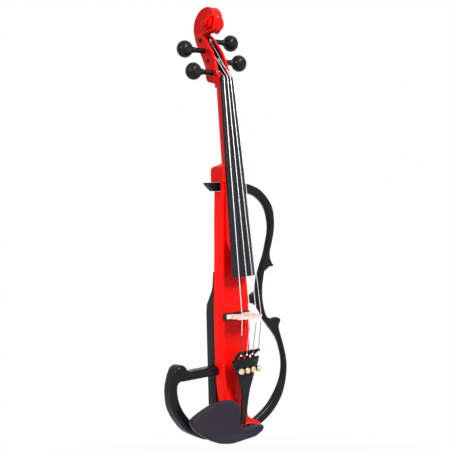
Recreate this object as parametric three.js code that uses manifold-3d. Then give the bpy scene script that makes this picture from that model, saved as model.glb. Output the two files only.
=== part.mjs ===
// Electric violin with a slim solid body and an open frame of two black arms.
// Millimetres. X points to the treble side, Y to the back, Z up towards the scroll.
// It is drawn from the bottom end of the body's front face, on the centre line. At the end it is
// moved as a whole, so that its origin is the point under the scroll where a hanger carries it.
import * as THREE from 'three';
import { mergeVertices } from 'three/addons/utils/BufferGeometryUtils.js';
import Module from 'manifold-3d';

const wasm = await Module();
wasm.setup();

// Clearances shared by every piece
const SEAT_GAP = 0.3;
const RUNNING_GAP = 0.3;
const CUT_OVERRUN = 2;

// Body core
const BODY_LENGTH = 332;
const BODY_DEPTH = 18;
const BODY_HALF_WIDTH = 26;
const BODY_FRONT_RADIUS = 5;
const BODY_BACK_RADIUS = 2.5;
const FOOT_HALF_WIDTH = 43;
const FOOT_HEIGHT = 24;
const BATTERY_POCKET_DEPTH = 4;
const WIRE_HOLE_RADIUS = 2;

// Upper crossbar with the left horn
const CROSSBAR_HEIGHT = 12;
const CROSSBAR_SETBACK = 3.8;
const FRAME_SETBACK = 9;
const FRAME_DEPTH = 9;
const HORN_REACH = 18;
const HORN_TIP_HEIGHT = 1.6;

// Right arm
const UPPER_BOUT_HALF_WIDTH = 86;
const LOWER_BOUT_HALF_WIDTH = 105;
const WAIST_HALF_WIDTH = 60.5;
const ARM_BEVEL = 1.8;
const BRACKET_HEIGHT = 12;
const BRACKET_CENTRE_HEIGHT = 179;

// Left arm
const LEFT_ARM_HALF_WIDTH = 107;
const LEFT_ARM_DEPTH = 19.5;
const LEFT_ARM_BEVEL = 3;
const STRUT_HEIGHT = 12;
const STRUT_BASE_HEIGHT = 80;

// Fingerboard
const FINGERBOARD_END_HEIGHT = 216;
const NUT_HEIGHT_ON_BODY = 483.6;
const FINGERBOARD_NUT_HALF_WIDTH = 10.8;
const FINGERBOARD_END_HALF_WIDTH = 19.4;
const FINGERBOARD_ARCH_RADIUS = 42;
const FINGERBOARD_EDGE = 3.6;
const FINGERBOARD_TOP_AT_NUT = 3.8;
const FINGERBOARD_TOP_AT_END = -24.3;

// Neck and heel
const NECK_THICKNESS_AT_NUT = 15.8;
const NECK_THICKNESS_AT_HEEL = 15.6;
const NECK_SIDE_INSET = 0.3;
const HEEL_HEIGHT = 22;
const HEEL_HALF_WIDTH = 19.5;
const HEEL_BACK = 26.5;
const HEEL_RADIUS = 5;
const HEEL_EDGE = 1;
const ROOT_SIDE_INSET = 2;
const ROOT_END_HEIGHT = 248;
const ROOT_SLOPE_HEIGHT = 18;
const ROOT_END_THICKNESS = 1.2;

// Pegbox
const PEGBOX_BELOW_NUT = 8.64;
const PEGBOX_SETBACK = 2.34;
const PEGBOX_LENGTH = 78;
const PEGBOX_LEAN = 39;
const PEGBOX_HALF_WIDTH = 12.3;
const PEGBOX_DEPTH = 22;
const PEGBOX_RADIUS = 2.4;
const PEGBOX_WALL = 4.4;
const PEGBOX_FLOOR = 5;

// Scroll
const EYE_OVER_PEGBOX = 11.84;
const EYE_BEFORE_PEGBOX = 14.975;
const EYE_RADIUS = 4.2;
const EYE_HALF_WIDTH = 17.4;
const SCROLL_RADIUS = 36;
const SCROLL_START_ANGLE = -50;
const SCROLL_STEPS_PER_TURN = 24;
const SCROLL_TURNS = 3;
const SCROLL_LIP = 1.3;
const SCROLL_SCOOP = 1.1;
const SCROLL_FLUTE = 0.9;

// Pegs
const PEG_OVER_PEGBOX_BASE = 22.34;
const PEG_PITCH = 15.4;
const PEG_BEHIND_PEGBOX_FRONT = 12.55;
const PEG_SHAFT_RADIUS = 3.7;
const PEG_TIP_RADIUS = 3;
const PEG_COLLAR_RADIUS = 4.3;
const PEG_COLLAR_LENGTH = 2.4;
const PEG_NECK_RADIUS = 3.1;
const PEG_HEAD_RADIUS = 11.8;
const PEG_HEAD_THICKNESS = 20.5;
const PEG_HEAD_CENTRE = 45.3;
const PEG_PROUD = 0.8;
const PEG_DISH = 1.3;

// Nut
const NUT_LENGTH = 4.6;
const NUT_OVER_BOARD = 0.5;
const NUT_SIDE_OVERHANG = 0.6;

// Strings, from bass to treble
const STRING_NAMES = ['g', 'd', 'a', 'e'];
const STRING_RADII = { g: 0.42, d: 0.4, a: 0.36, e: 0.3 };
const STRING_SPACING_AT_NUT = 5.5;
const STRING_SPACING_AT_BRIDGE = 11.6;
const STRING_SPACING_AT_TAILPIECE = 10.4;
const STRING_SIDES = 6;
const STRING_OVER_NUT = 0.75;
const WINDING_TURNS = 2.5;
const WINDING_PITCH = 1.25;
const WINDING_STEPS = 12;
const WINDING_STARTS = { g: 3.3, d: 2.7, a: 2.7, e: 3.3 };
const WINDING_CLEARANCE = 0.3;

// Bridge and its pickup base
const BRIDGE_HEIGHT_ON_BODY = 161;
const BRIDGE_CREST = 36;
const BRIDGE_CREST_RADIUS = 42;
const BRIDGE_FOOT_HALF_WIDTH = 20.5;
const BRIDGE_TOP_HALF_WIDTH = 21;
const BRIDGE_FOOT_THICKNESS = 6.2;
const BRIDGE_TOP_THICKNESS = 2.6;
const PICKUP_HALF_WIDTH = 24.2;
const PICKUP_HEIGHT = 10;
const PICKUP_THICKNESS = 3.4;
const PICKUP_RADIUS = 2;

// Tailpiece and fine tuners
const TAILPIECE_END_HEIGHT = 11.5;
const TAILPIECE_LENGTH = 93;
const TAILPIECE_HALF_WIDTH = 23.5;
const TAILPIECE_THICKNESS = 3.6;
const TAILPIECE_EDGE = 2.2;
const TAILPIECE_ARCH_RADIUS = 66;
const TAILPIECE_TOP_FRONT = 24.5;
const TAILPIECE_END_FRONT = 10.5;
const TAILPIECE_RIDGE = 1.3;
const TAILPIECE_RIDGE_LENGTH = 2.4;
const AXLE_RADIUS = 1.1;
const AXLE_BELOW_TOP = 4.5;
const AXLE_BEHIND_FRONT = 8.4;
const EAR_WIDTH = 2.4;
const EAR_RADIUS = 3;
const LEVER_WIDTH = 4.4;
const LEVER_BOSS_RADIUS = 2.5;
const LEVER_THICKNESS = 2.6;
const LEVER_REACH = 16;
const FORK_REACH = 12.8;
const FORK_SLOT = 1.6;
const FORK_SLOT_DEPTH = 3.4;
const SCREW_BELOW_TOP = 16;
const SCREW_SHAFT_RADIUS = 1.3;
const SCREW_HEAD_RADIUS = 4.2;
const SCREW_HEAD_LENGTH = 4.4;
const SCREW_STANDOFF = 2.4;
const SCREW_KNURLS = 8;
const SCREW_KNURL_DEPTH = 0.3;
const STRING_END_OVER_TOP = 5.5;
const STRING_END_PROUD = 1.9;
const BALL_CAP_ANGLE = 75;
const BALL_RADIUS = 1.4;

// Tailgut, saddle and end button
const TAILGUT_RADIUS = 1;
const TAILGUT_HALF_SPREAD = 2.6;
const TAILGUT_DEPTH_IN_TAILPIECE = 6;
const SADDLE_HALF_WIDTH = 10;
const SADDLE_RISE = 2.4;
const SADDLE_LENGTH = 5;
const BUTTON_BACK = 9;
const BUTTON_HEAD_RADIUS = 6;
const BUTTON_NECK_RADIUS = 3.6;
const BUTTON_SHANK_RADIUS = 3;
const BUTTON_LENGTH = 12;
const BUTTON_NECK_LENGTH = 5;
const BUTTON_SHANK_LENGTH = 14;

// Chinrest and its clamp
const CHINREST_WIDTH = 128;
const CHINREST_HEIGHT = 60;
const CHINREST_FRONT = 20.5;
const CHINREST_THICKNESS = 12;
const CHINREST_BEVEL = 2.4;
const CHINREST_PAD_HEIGHT = 8;
const CHINREST_PAD_WIDTH = 9;
const CHINREST_PAD_CENTRE = 17.5;
const BOWL_DEPTH = 6.5;
const BOWL_HALF_LENGTH = 50;
const BOWL_HALF_HEIGHT = 34;
const BOWL_TILT = 14;
const BOWL_ROUNDNESS = 18;
const CORK_THICKNESS = 2;
const CLAMP_HALF_SPACING = 17;
const CLAMP_DROP = 5.5;
const CLAMP_PLATE = 2;
const CLAMP_RISE = 12;
const CLAMP_HALF_WIDTH = 22;
const BARREL_RADIUS = 2.8;
const BARREL_LENGTH = 13;
const BARREL_FRONT = 1;
const BARREL_KEY_RADIUS = 0.8;
const CLAMP_ROD_RADIUS = 1.5;
const CLAMP_ROD_IN_BARREL = 4.5;

// Rear housing and what it holds
const HOUSING_BACK = 36.6;
const HOUSING_HALF_WIDTH = 24.5;
const HOUSING_BOTTOM = 16;
const HOUSING_TOP = 222;
const HOUSING_WALL = 2.4;
const HOUSING_BACK_WALL = 3;
const HOUSING_FLOOR = 7;
const HOUSING_BEVEL = 2;
const HOUSING_CAVITY_TOP = 172;
const BATTERY_WIDTH = 26.5;
const BATTERY_DEPTH = 17.5;
const BATTERY_LENGTH = 46.5;
const BATTERY_BASE_HEIGHT = 112;
const BATTERY_BEVEL = 1.5;
const TERMINAL_RADIUS = 3.2;
const TERMINAL_HEIGHT = 2;
const TERMINAL_HALF_SPACING = 6.35;
const CLIP_THICKNESS = 3.4;
const DOOR_WIDTH = 31;
const DOOR_LENGTH = 56;
const DOOR_BASE_HEIGHT = 107;
const DOOR_PLATE = 2;
const DOOR_BARREL_RADIUS = 1.4;
const DOOR_BARREL_BACK = 35;
const DOOR_PIN_RADIUS = 0.8;
const DOOR_PIN_LENGTH = 2.4;
const DOOR_GRIP_RADIUS = 7;
const DOOR_GRIP_DEPTH = 0.9;
const BOARD_WIDTH = 24;
const BOARD_LENGTH = 72;
const BOARD_THICKNESS = 1.6;
const BOARD_BASE_HEIGHT = 25;
const CHIP_WIDTH = 8;
const CHIP_LENGTH = 10;
const CHIP_THICKNESS = 1.4;
const CONTROL_LINE_BACK = 27.3;
const POT_RADIUS = 5.8;
const POT_LENGTH = 8;
const POT_SHAFT_RADIUS = 3;
const POT_SHAFT_LENGTH = 8;
const KNOB_RADIUS = 6.6;
const KNOB_LENGTH = 10;
const KNOB_RIBS = 10;
const KNOB_RIB_RADIUS = 0.7;
const KNOB_POINTER = 1;
const VOLUME_HEIGHT = 96;
const TONE_HEIGHT = 76;
const SWITCH_HEIGHT = 59;
const SWITCH_LENGTH = 14;
const SWITCH_WIDTH = 7;
const SWITCH_DEPTH = 7;
const SWITCH_LEVER_LENGTH = 3.4;
const SWITCH_LEVER_WIDTH = 2.6;
const SWITCH_LEVER_REACH = 2.4;
const SWITCH_TRAVEL = 3;
const PHONES_HEIGHT = 44;
const PHONES_BORE_RADIUS = 1.8;
const PHONES_RADIUS = 4;
const PHONES_LENGTH = 15;
const PHONES_FLANGE_RADIUS = 5;
const OUTPUT_HEIGHT = 30.5;
const OUTPUT_BORE_RADIUS = 3.25;
const OUTPUT_RADIUS = 5.6;
const OUTPUT_LENGTH = 26;
const OUTPUT_FLANGE_RADIUS = 6.8;
const JACK_FLANGE_LENGTH = 2;
const JACK_END_WALL = 1.6;
const HOUSING_SCREW_RADIUS = 1.3;
const HOUSING_SCREW_HEAD_RADIUS = 2.6;
const HOUSING_SCREW_HEAD = 1.3;
const HOUSING_SCREW_IN_BODY = 6;
const HOUSING_SCREW_SINK = 1.4;
const HOUSING_SCREW_UPPER = 199;
const HOUSING_SCREW_LOWER = 19.6;
const HOUSING_SCREW_HALF_SPACING = 16;
const WIRE_RADIUS = 0.9;

// Hanger: how far up the pegbox and how far behind the front plane the yoke carries the scroll
const HANGER_BELOW_EYE = 13.8;
const HANGER_BACK = 44;

// Finishes
const finish = (color, roughness, metalness) => new THREE.MeshStandardMaterial({ color, roughness, metalness });
const redLacquer = finish(0xc80f0a, 0.12, 0);
const blackLacquer = finish(0x0a0a0c, 0.12, 0);
const blackSatin = finish(0x17161b, 0.42, 0);
const ebony = finish(0x121116, 0.35, 0);
const maple = finish(0xe9d3b0, 0.55, 0);
const steel = finish(0xc9ccd2, 0.25, 1);
const gold = finish(0xd6ab58, 0.25, 1);
const nickel = finish(0xb9b9b6, 0.3, 1);
const cork = finish(0xa97f50, 0.9, 0);
const boardGreen = finish(0x1d5a34, 0.5, 0);
const batteryGrey = finish(0x3a3f46, 0.4, 0.3);
const nylon = finish(0x0d0d0f, 0.5, 0);

const violin = new THREE.Group();

// Small geometry helpers

function vector(x, y, z) {
  return new THREE.Vector3(x, y, z);
}

// Interpolates a table of rows by its first column, with a smooth curve through the rows
function follow(table, at) {
  const last = table.length - 1;
  let row = 0;
  while (row < last - 1 && at > table[row + 1][0]) {
    row += 1;
  }
  const before = table[Math.max(row - 1, 0)];
  const from = table[row];
  const to = table[row + 1];
  const after = table[Math.min(row + 2, last)];
  const span = to[0] - from[0];
  const t = THREE.MathUtils.clamp((at - from[0]) / span, 0, 1);
  return from.slice(1).map((value, column) => {
    const k = column + 1;
    const slopeIn = ((to[k] - before[k]) / (to[0] - before[0] || span)) * span;
    const slopeOut = ((after[k] - from[k]) / (after[0] - from[0] || span)) * span;
    const t2 = t * t;
    const t3 = t2 * t;
    return value * (2 * t3 - 3 * t2 + 1) + slopeIn * (t3 - 2 * t2 + t)
      + to[k] * (3 * t2 - 2 * t3) + slopeOut * (t3 - t2);
  });
}

// Evenly spread values from first to last
function spread(first, last, count) {
  return Array.from({ length: count + 1 }, (_, i) => first + ((last - first) * i) / count);
}

function geometryFrom(positions, indices) {
  const geometry = new THREE.BufferGeometry();
  geometry.setAttribute('position', new THREE.Float32BufferAttribute(positions, 3));
  geometry.setIndex(indices);
  return geometry;
}

// Signed volume, used to turn a closed surface so that its faces point out
function signedVolume(geometry) {
  const place = geometry.getAttribute('position');
  const index = geometry.getIndex();
  const a = new THREE.Vector3();
  const b = new THREE.Vector3();
  const c = new THREE.Vector3();
  let volume = 0;
  for (let i = 0; i < index.count; i += 3) {
    a.fromBufferAttribute(place, index.getX(i));
    b.fromBufferAttribute(place, index.getX(i + 1));
    c.fromBufferAttribute(place, index.getX(i + 2));
    volume += a.dot(b.cross(c));
  }
  return volume;
}

// Turns every face round where a closed surface points inwards
function facingOut(geometry) {
  geometry.deleteAttribute('normal');
  geometry.deleteAttribute('uv');
  const merged = mergeVertices(geometry, 1e-4);
  if (signedVolume(merged) < 0) {
    const index = Array.from(merged.getIndex().array);
    merged.setIndex(index.map((_, i) => index[i - (i % 3) + [0, 2, 1][i % 3]]));
  }
  return merged;
}

// A loft through rings of points with a fan cap on each end
function loft(rings) {
  const count = rings[0].length;
  const positions = rings.flat().flatMap((p) => [p.x, p.y, p.z]);
  const indices = [];
  for (let r = 0; r < rings.length - 1; r += 1) {
    for (let i = 0; i < count; i += 1) {
      const j = (i + 1) % count;
      const a = r * count + i;
      const b = r * count + j;
      indices.push(a, b, b + count, a, b + count, a + count);
    }
  }
  [0, rings.length - 1].forEach((r) => {
    const centre = rings[r].reduce((sum, p) => sum.add(p), vector(0, 0, 0)).divideScalar(count);
    const hub = positions.length / 3;
    positions.push(centre.x, centre.y, centre.z);
    for (let i = 0; i < count; i += 1) {
      const j = (i + 1) % count;
      const a = r * count + i;
      const b = r * count + j;
      indices.push(...(r === 0 ? [hub, b, a] : [hub, a, b]));
    }
  });
  return facingOut(geometryFrom(positions, indices));
}

// A level ring with rounded corners: two front ones and two back ones
function roundedRing(halfWidth, front, back, frontRadius, backRadius, z, steps = 3) {
  const ring = [];
  const corner = (cx, cy, radius, startAngle) => {
    spread(startAngle, startAngle + Math.PI / 2, steps).forEach((angle) => {
      ring.push(vector(cx + radius * Math.cos(angle), cy + radius * Math.sin(angle), z));
    });
  };
  corner(halfWidth - backRadius, back - backRadius, backRadius, 0);
  corner(-halfWidth + backRadius, back - backRadius, backRadius, Math.PI / 2);
  corner(-halfWidth + frontRadius, front + frontRadius, frontRadius, Math.PI);
  corner(halfWidth - frontRadius, front + frontRadius, frontRadius, Math.PI * 1.5);
  return ring;
}

// An outline drawn in X and Z, extruded from its front plane to its back plane
function plateGeometry(points, front, back, bevel = 0, curveSegments = 1) {
  const shape = new THREE.Shape(points.map(([x, z]) => new THREE.Vector2(x, z)));
  const geometry = new THREE.ExtrudeGeometry(shape, {
    depth: back - front - 2 * bevel,
    bevelEnabled: bevel > 0,
    bevelSize: bevel,
    bevelThickness: bevel,
    bevelOffset: -bevel,
    bevelSegments: 1,
    curveSegments,
  });
  geometry.rotateX(Math.PI / 2);
  geometry.translate(0, back - bevel, 0);
  return geometry;
}

// A side profile drawn in Y and Z, extruded across the width from left to right
function profileGeometry(points, left, right, bevel = 0) {
  const shape = new THREE.Shape(points.map(([y, z]) => new THREE.Vector2(y, z)));
  const geometry = new THREE.ExtrudeGeometry(shape, {
    depth: right - left - 2 * bevel,
    bevelEnabled: bevel > 0,
    bevelSize: bevel,
    bevelThickness: bevel,
    bevelOffset: -bevel,
    bevelSegments: 1,
  });
  const turn = new THREE.Matrix4().makeBasis(vector(0, 1, 0), vector(0, 0, 1), vector(1, 0, 0));
  geometry.applyMatrix4(turn);
  geometry.translate(left + bevel, 0, 0);
  return geometry;
}

// A box between two corners
function boxGeometry(low, high) {
  const geometry = new THREE.BoxGeometry(high[0] - low[0], high[1] - low[1], high[2] - low[2]);
  geometry.translate((high[0] + low[0]) / 2, (high[1] + low[1]) / 2, (high[2] + low[2]) / 2);
  return geometry;
}

// A turned piece: profile rows are [radius, distance along the axis], starting and ending on the axis
function turnedGeometry(profile, axis, sides = 20) {
  const geometry = new THREE.LatheGeometry(profile.map(([r, h]) => new THREE.Vector2(r, h)), sides);
  const quaternion = new THREE.Quaternion().setFromUnitVectors(vector(0, 1, 0), axis.clone().normalize());
  geometry.applyQuaternion(quaternion);
  return geometry;
}

function rodGeometry(radius, from, to, sides = 16) {
  const way = to.clone().sub(from);
  const geometry = new THREE.CylinderGeometry(radius, radius, way.length(), sides);
  const quaternion = new THREE.Quaternion().setFromUnitVectors(vector(0, 1, 0), way.clone().normalize());
  geometry.applyQuaternion(quaternion);
  const middle = from.clone().add(to).multiplyScalar(0.5);
  geometry.translate(middle.x, middle.y, middle.z);
  return geometry;
}

// A round tube along a smooth curve through its points
function tubeGeometry(points, radius, sides, steps, tension = 0.5) {
  const path = new THREE.CatmullRomCurve3(points, false, 'catmullrom', tension);
  const section = new THREE.Shape(spread(0, 2 * Math.PI, sides).slice(0, sides).map(
    (angle) => new THREE.Vector2(radius * Math.cos(angle), radius * Math.sin(angle)),
  ));
  return new THREE.ExtrudeGeometry(section, { steps, bevelEnabled: false, extrudePath: path });
}

function solid(geometry) {
  const plain = geometry.clone();
  plain.deleteAttribute('normal');
  plain.deleteAttribute('uv');
  const merged = mergeVertices(plain, 1e-4);
  return new wasm.Manifold(new wasm.Mesh({
    numProp: 3,
    vertProperties: new Float32Array(merged.getAttribute('position').array),
    triVerts: new Uint32Array(merged.getIndex().array),
  }));
}

function unite(...geometries) {
  return geometries.map(solid).reduce((sum, next) => sum.add(next));
}

function cut(body, ...geometries) {
  return geometries.map(solid).reduce((rest, next) => rest.subtract(next), body);
}

function geometryOf(body) {
  const mesh = body.getMesh();
  return geometryFrom(Array.from(mesh.vertProperties), Array.from(mesh.triVerts));
}

function addPiece(name, shape, material, place = vector(0, 0, 0)) {
  const mesh = new THREE.Mesh(shape.isBufferGeometry ? shape : geometryOf(shape), material);
  mesh.name = name;
  mesh.position.copy(place);
  violin.add(mesh);
  return mesh;
}

// Lines that several pieces share

const boardEndHeight = FINGERBOARD_END_HEIGHT;
const boardLength = NUT_HEIGHT_ON_BODY - FINGERBOARD_END_HEIGHT;

// Share of the way from the nut down to the end of the fingerboard
function boardShare(z) {
  return (NUT_HEIGHT_ON_BODY - z) / boardLength;
}

function boardHalfWidth(z) {
  return THREE.MathUtils.lerp(FINGERBOARD_NUT_HALF_WIDTH, FINGERBOARD_END_HALF_WIDTH, boardShare(z));
}

function boardTop(z) {
  return THREE.MathUtils.lerp(FINGERBOARD_TOP_AT_NUT, FINGERBOARD_TOP_AT_END, boardShare(z));
}

// How far a circular arch falls away from its crown at a distance from the centre line
function archFall(radius, x) {
  return radius - Math.sqrt(radius * radius - x * x);
}

// The glued underside of the fingerboard, a straight plane between its two ends
function boardUnderside(z) {
  const atNut = FINGERBOARD_TOP_AT_NUT + FINGERBOARD_EDGE
    + archFall(FINGERBOARD_ARCH_RADIUS, FINGERBOARD_NUT_HALF_WIDTH);
  const atEnd = FINGERBOARD_TOP_AT_END + FINGERBOARD_EDGE
    + archFall(FINGERBOARD_ARCH_RADIUS, FINGERBOARD_END_HALF_WIDTH);
  return THREE.MathUtils.lerp(atNut, atEnd, boardShare(z));
}

const crossbarBase = BODY_LENGTH + SEAT_GAP;
const crossbarTop = crossbarBase + CROSSBAR_HEIGHT;
const heelBase = crossbarTop + SEAT_GAP;
const heelTop = heelBase + HEEL_HEIGHT;
const frameFront = FRAME_SETBACK;
const frameBack = FRAME_SETBACK + FRAME_DEPTH;
const tailpieceEnd = TAILPIECE_END_HEIGHT;
const tailpieceTop = TAILPIECE_END_HEIGHT + TAILPIECE_LENGTH;
const axleHeight = tailpieceTop - AXLE_BELOW_TOP;
const axleFront = -tailpieceFront(axleHeight) - AXLE_BEHIND_FRONT;
const screwHeight = tailpieceTop - SCREW_BELOW_TOP;

// Half width of the body core as shares of its full half width, from bottom to top
const bodyWidthShares = [
  [0.072, 0.75], [0.11, 0.8], [0.172, 0.915], [0.24, 0.97], [0.33, 1], [0.44, 1],
  [0.56, 0.975], [0.75, 0.87], [0.9, 0.81], [1, 0.75],
];
// The flared foot: height and half width as shares of its own size
const footShares = [
  [0, 0.93], [0.1, 0.985], [0.2, 0.97], [0.3, 0.88], [0.42, 0.72], [0.6, 0.55], [0.8, 0.47], [1, 0.4535],
];

function bodyHalfWidth(z) {
  return BODY_HALF_WIDTH * follow(bodyWidthShares, z / BODY_LENGTH)[0];
}

const wireX = PICKUP_HALF_WIDTH - PICKUP_HEIGHT / 2;
const wireHeight = BRIDGE_HEIGHT_ON_BODY;

// The room that the body's sides need in the pieces that end against them
function makeBodyRelief() {
  const front = -BODY_DEPTH;
  const ring = (half, z) => [
    vector(half, front, z), vector(half, BODY_DEPTH * 2, z), vector(-half, BODY_DEPTH * 2, z), vector(-half, front, z),
  ];
  const rings = footShares.map(([heightShare, widthShare]) => ring(
    FOOT_HALF_WIDTH * widthShare + SEAT_GAP, FOOT_HEIGHT * heightShare,
  ));
  spread(FOOT_HEIGHT, BODY_LENGTH, 14).slice(1).forEach((z) => rings.push(ring(bodyHalfWidth(z) + SEAT_GAP, z)));
  return loft([ring(FOOT_HALF_WIDTH * footShares[0][1] + SEAT_GAP, -FOOT_HEIGHT), ...rings]);
}

const housingScrewPlaces = [
  [-HOUSING_SCREW_HALF_SPACING, HOUSING_SCREW_LOWER], [HOUSING_SCREW_HALF_SPACING, HOUSING_SCREW_LOWER],
  [-HOUSING_SCREW_HALF_SPACING, HOUSING_SCREW_UPPER], [HOUSING_SCREW_HALF_SPACING, HOUSING_SCREW_UPPER],
];

// Body core: rounded board, waisted above a flared foot
function makeBodyCore() {
  const rings = footShares.map(([heightShare, widthShare]) => roundedRing(
    FOOT_HALF_WIDTH * widthShare, 0, BODY_DEPTH, BODY_FRONT_RADIUS, BODY_BACK_RADIUS, FOOT_HEIGHT * heightShare,
  ));
  spread(FOOT_HEIGHT, BODY_LENGTH, 14).slice(1).forEach((z) => {
    rings.push(roundedRing(bodyHalfWidth(z), 0, BODY_DEPTH, BODY_FRONT_RADIUS, BODY_BACK_RADIUS, z));
  });
  const pocketHalfWidth = BATTERY_WIDTH / 2 + RUNNING_GAP;
  const pocket = boxGeometry(
    [-pocketHalfWidth, BODY_DEPTH - BATTERY_POCKET_DEPTH, BATTERY_BASE_HEIGHT - RUNNING_GAP],
    [pocketHalfWidth, BODY_DEPTH + CUT_OVERRUN, BATTERY_BASE_HEIGHT + BATTERY_LENGTH + RUNNING_GAP],
  );
  const wireHole = rodGeometry(
    WIRE_HOLE_RADIUS,
    vector(wireX, -CUT_OVERRUN, wireHeight),
    vector(wireX, BODY_DEPTH + CUT_OVERRUN, wireHeight),
    12,
  );
  const buttonHole = rodGeometry(
    BUTTON_SHANK_RADIUS + SEAT_GAP,
    vector(0, BUTTON_BACK, -CUT_OVERRUN),
    vector(0, BUTTON_BACK, BUTTON_SHANK_LENGTH + SEAT_GAP),
  );
  const screwHoles = housingScrewPlaces.map(([x, z]) => rodGeometry(
    HOUSING_SCREW_RADIUS + SEAT_GAP,
    vector(x, BODY_DEPTH - HOUSING_SCREW_IN_BODY - SEAT_GAP, z),
    vector(x, BODY_DEPTH + CUT_OVERRUN, z),
    10,
  ));
  return cut(solid(loft(rings)), pocket, wireHole, buttonHole, ...screwHoles);
}

addPiece('body_core', makeBodyCore(), redLacquer);

// Crossbar behind the foot of the neck, with the horn that stands out on the bass side
function makeCrossbar() {
  const half = HEEL_HALF_WIDTH;
  const bar = boxGeometry([-half, CROSSBAR_SETBACK, crossbarBase], [half, BODY_DEPTH, crossbarTop]);
  const hornTipX = -half - HORN_REACH;
  const horn = plateGeometry([
    [-half + ARM_BEVEL, crossbarBase], [-half + ARM_BEVEL, crossbarTop], [hornTipX, crossbarTop],
    [hornTipX, crossbarTop - HORN_TIP_HEIGHT], [-half - HORN_REACH * 0.4, crossbarBase + CROSSBAR_HEIGHT * 0.04],
  ], frameFront, frameBack, 0);
  return unite(bar, horn);
}

addPiece('upper_crossbar', makeCrossbar(), blackLacquer);

// Right arm: one bow from the crossbar over two pointed corners to the foot.
// Points are shares of the bout widths across and of the body length up.
const rightOuterShares = [
  [0.2, 1.034], [0.43, 1.029], [0.674, 1.007], [0.85, 0.97], [0.965, 0.928], [1.003, 0.877], [0.995, 0.826],
];
// The pointed corners lie between the waist's width and the bout's, as shares of the way from one to the other
const rightUpperCornerShares = [[0.808, 0.775], [0.639, 0.735], [0.646, 0.707], [0.764, 0.686]];
const rightUpperTipShares = [[0.848, 0.6765], [0.781, 0.6695], [0.578, 0.669]];
const rightWaistShares = [
  [1.075, 0.651], [1.035, 0.622], [0.998, 0.583], [0.995, 0.533], [1.055, 0.479], [1.13, 0.452],
];
const rightLowerCornerShares = [
  [0.363, 0.441], [0.528, 0.4455], [0.646, 0.444], [0.736, 0.437], [0.752, 0.4295],
];
const rightLowerShares = [
  [0.866, 0.41], [0.872, 0.39], [0.925, 0.34], [0.983, 0.275], [1.002, 0.224], [0.967, 0.155], [0.883, 0.094],
  [0.72, 0.038], [0.51, -0.0015], [0.4, -0.006], [0.3, -0.008],
];
const rightInnerShares = [
  [0.3, 0.022], [0.4, 0.0255], [0.63, 0.067], [0.8, 0.124], [0.902, 0.182], [0.93, 0.243], [0.898, 0.304],
  [0.825, 0.357],
];
const rightInnerLowerCornerShares = [[0.2685, 0.409], [0.056, 0.443], [-0.055, 0.472]];
const rightInnerWaistShares = [[0.835, 0.508], [0.823, 0.57], [0.86, 0.623]];
const rightInnerUpperCornerShares = [[-0.059, 0.675], [0.237, 0.724]];
const rightInnerUpperShares = [
  [0.835, 0.774], [0.885, 0.827], [0.875, 0.877], [0.805, 0.928], [0.65, 0.967], [0.46, 0.987], [0.2, 0.992],
];

function arc(shares, across, up, left = 1) {
  return shares.map(([x, z]) => [left * across * x, up * z]);
}

function arcBetween(shares, narrow, wide, up) {
  return shares.map(([x, z]) => [THREE.MathUtils.lerp(narrow, wide, x), up * z]);
}

// Smooth points through an outline's named places
function smoothed(points, perSpan) {
  const curve = new THREE.SplineCurve(points.map(([x, z]) => new THREE.Vector2(x, z)));
  return curve.getPoints((points.length - 1) * perSpan).map((p) => [p.x, p.y]);
}

const crossbarRelief = boxGeometry(
  [-HEEL_HALF_WIDTH - SEAT_GAP, -BODY_DEPTH, BODY_LENGTH],
  [HEEL_HALF_WIDTH + SEAT_GAP, BODY_DEPTH * 2, crossbarTop + SEAT_GAP],
);

const bracketLow = BRACKET_CENTRE_HEIGHT - BRACKET_HEIGHT / 2;
const bracketHigh = BRACKET_CENTRE_HEIGHT + BRACKET_HEIGHT / 2;

function makeRightArm() {
  const length = BODY_LENGTH;
  const upper = smoothed([
    ...arc(rightOuterShares, UPPER_BOUT_HALF_WIDTH, length),
    ...arcBetween(rightUpperCornerShares, WAIST_HALF_WIDTH, UPPER_BOUT_HALF_WIDTH, length),
  ], 2);
  const corner = arcBetween(rightUpperTipShares, WAIST_HALF_WIDTH, UPPER_BOUT_HALF_WIDTH, length);
  const waist = smoothed(arc(rightWaistShares, WAIST_HALF_WIDTH, length), 2);
  const lowerCorner = arcBetween(rightLowerCornerShares, WAIST_HALF_WIDTH, LOWER_BOUT_HALF_WIDTH, length);
  const lower = smoothed(arc(rightLowerShares, LOWER_BOUT_HALF_WIDTH, length), 2);
  const innerLower = smoothed([
    ...arc(rightInnerShares, LOWER_BOUT_HALF_WIDTH, length),
    ...arcBetween(rightInnerLowerCornerShares, WAIST_HALF_WIDTH, LOWER_BOUT_HALF_WIDTH, length),
    ...arc(rightInnerWaistShares, WAIST_HALF_WIDTH, length),
    ...arcBetween(rightInnerUpperCornerShares, WAIST_HALF_WIDTH, UPPER_BOUT_HALF_WIDTH, length),
    ...arc(rightInnerUpperShares, UPPER_BOUT_HALF_WIDTH, length),
  ], 2);
  const outline = [...upper, ...corner, ...waist, ...lowerCorner, ...lower, ...innerLower];
  const bow = plateGeometry(outline, frameFront, frameBack, ARM_BEVEL);
  const bodySide = bodyHalfWidth(BRACKET_CENTRE_HEIGHT) - ARM_BEVEL;
  const armSide = WAIST_HALF_WIDTH * rightInnerWaistShares[0][0] + ARM_BEVEL;
  const flare = BRACKET_HEIGHT * 0.45;
  const bracket = plateGeometry([
    ...smoothed([[bodySide, bracketLow], [(bodySide + armSide) / 2, bracketLow], [armSide, bracketLow - flare]], 3),
    ...smoothed([[armSide, bracketHigh + flare], [(bodySide + armSide) / 2, bracketHigh], [bodySide, bracketHigh]], 3),
  ], frameFront, frameBack, ARM_BEVEL / 3);
  return cut(unite(bow, bracket), makeBodyRelief(), crossbarRelief);
}

addPiece('right_arm', makeRightArm(), blackLacquer);

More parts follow.
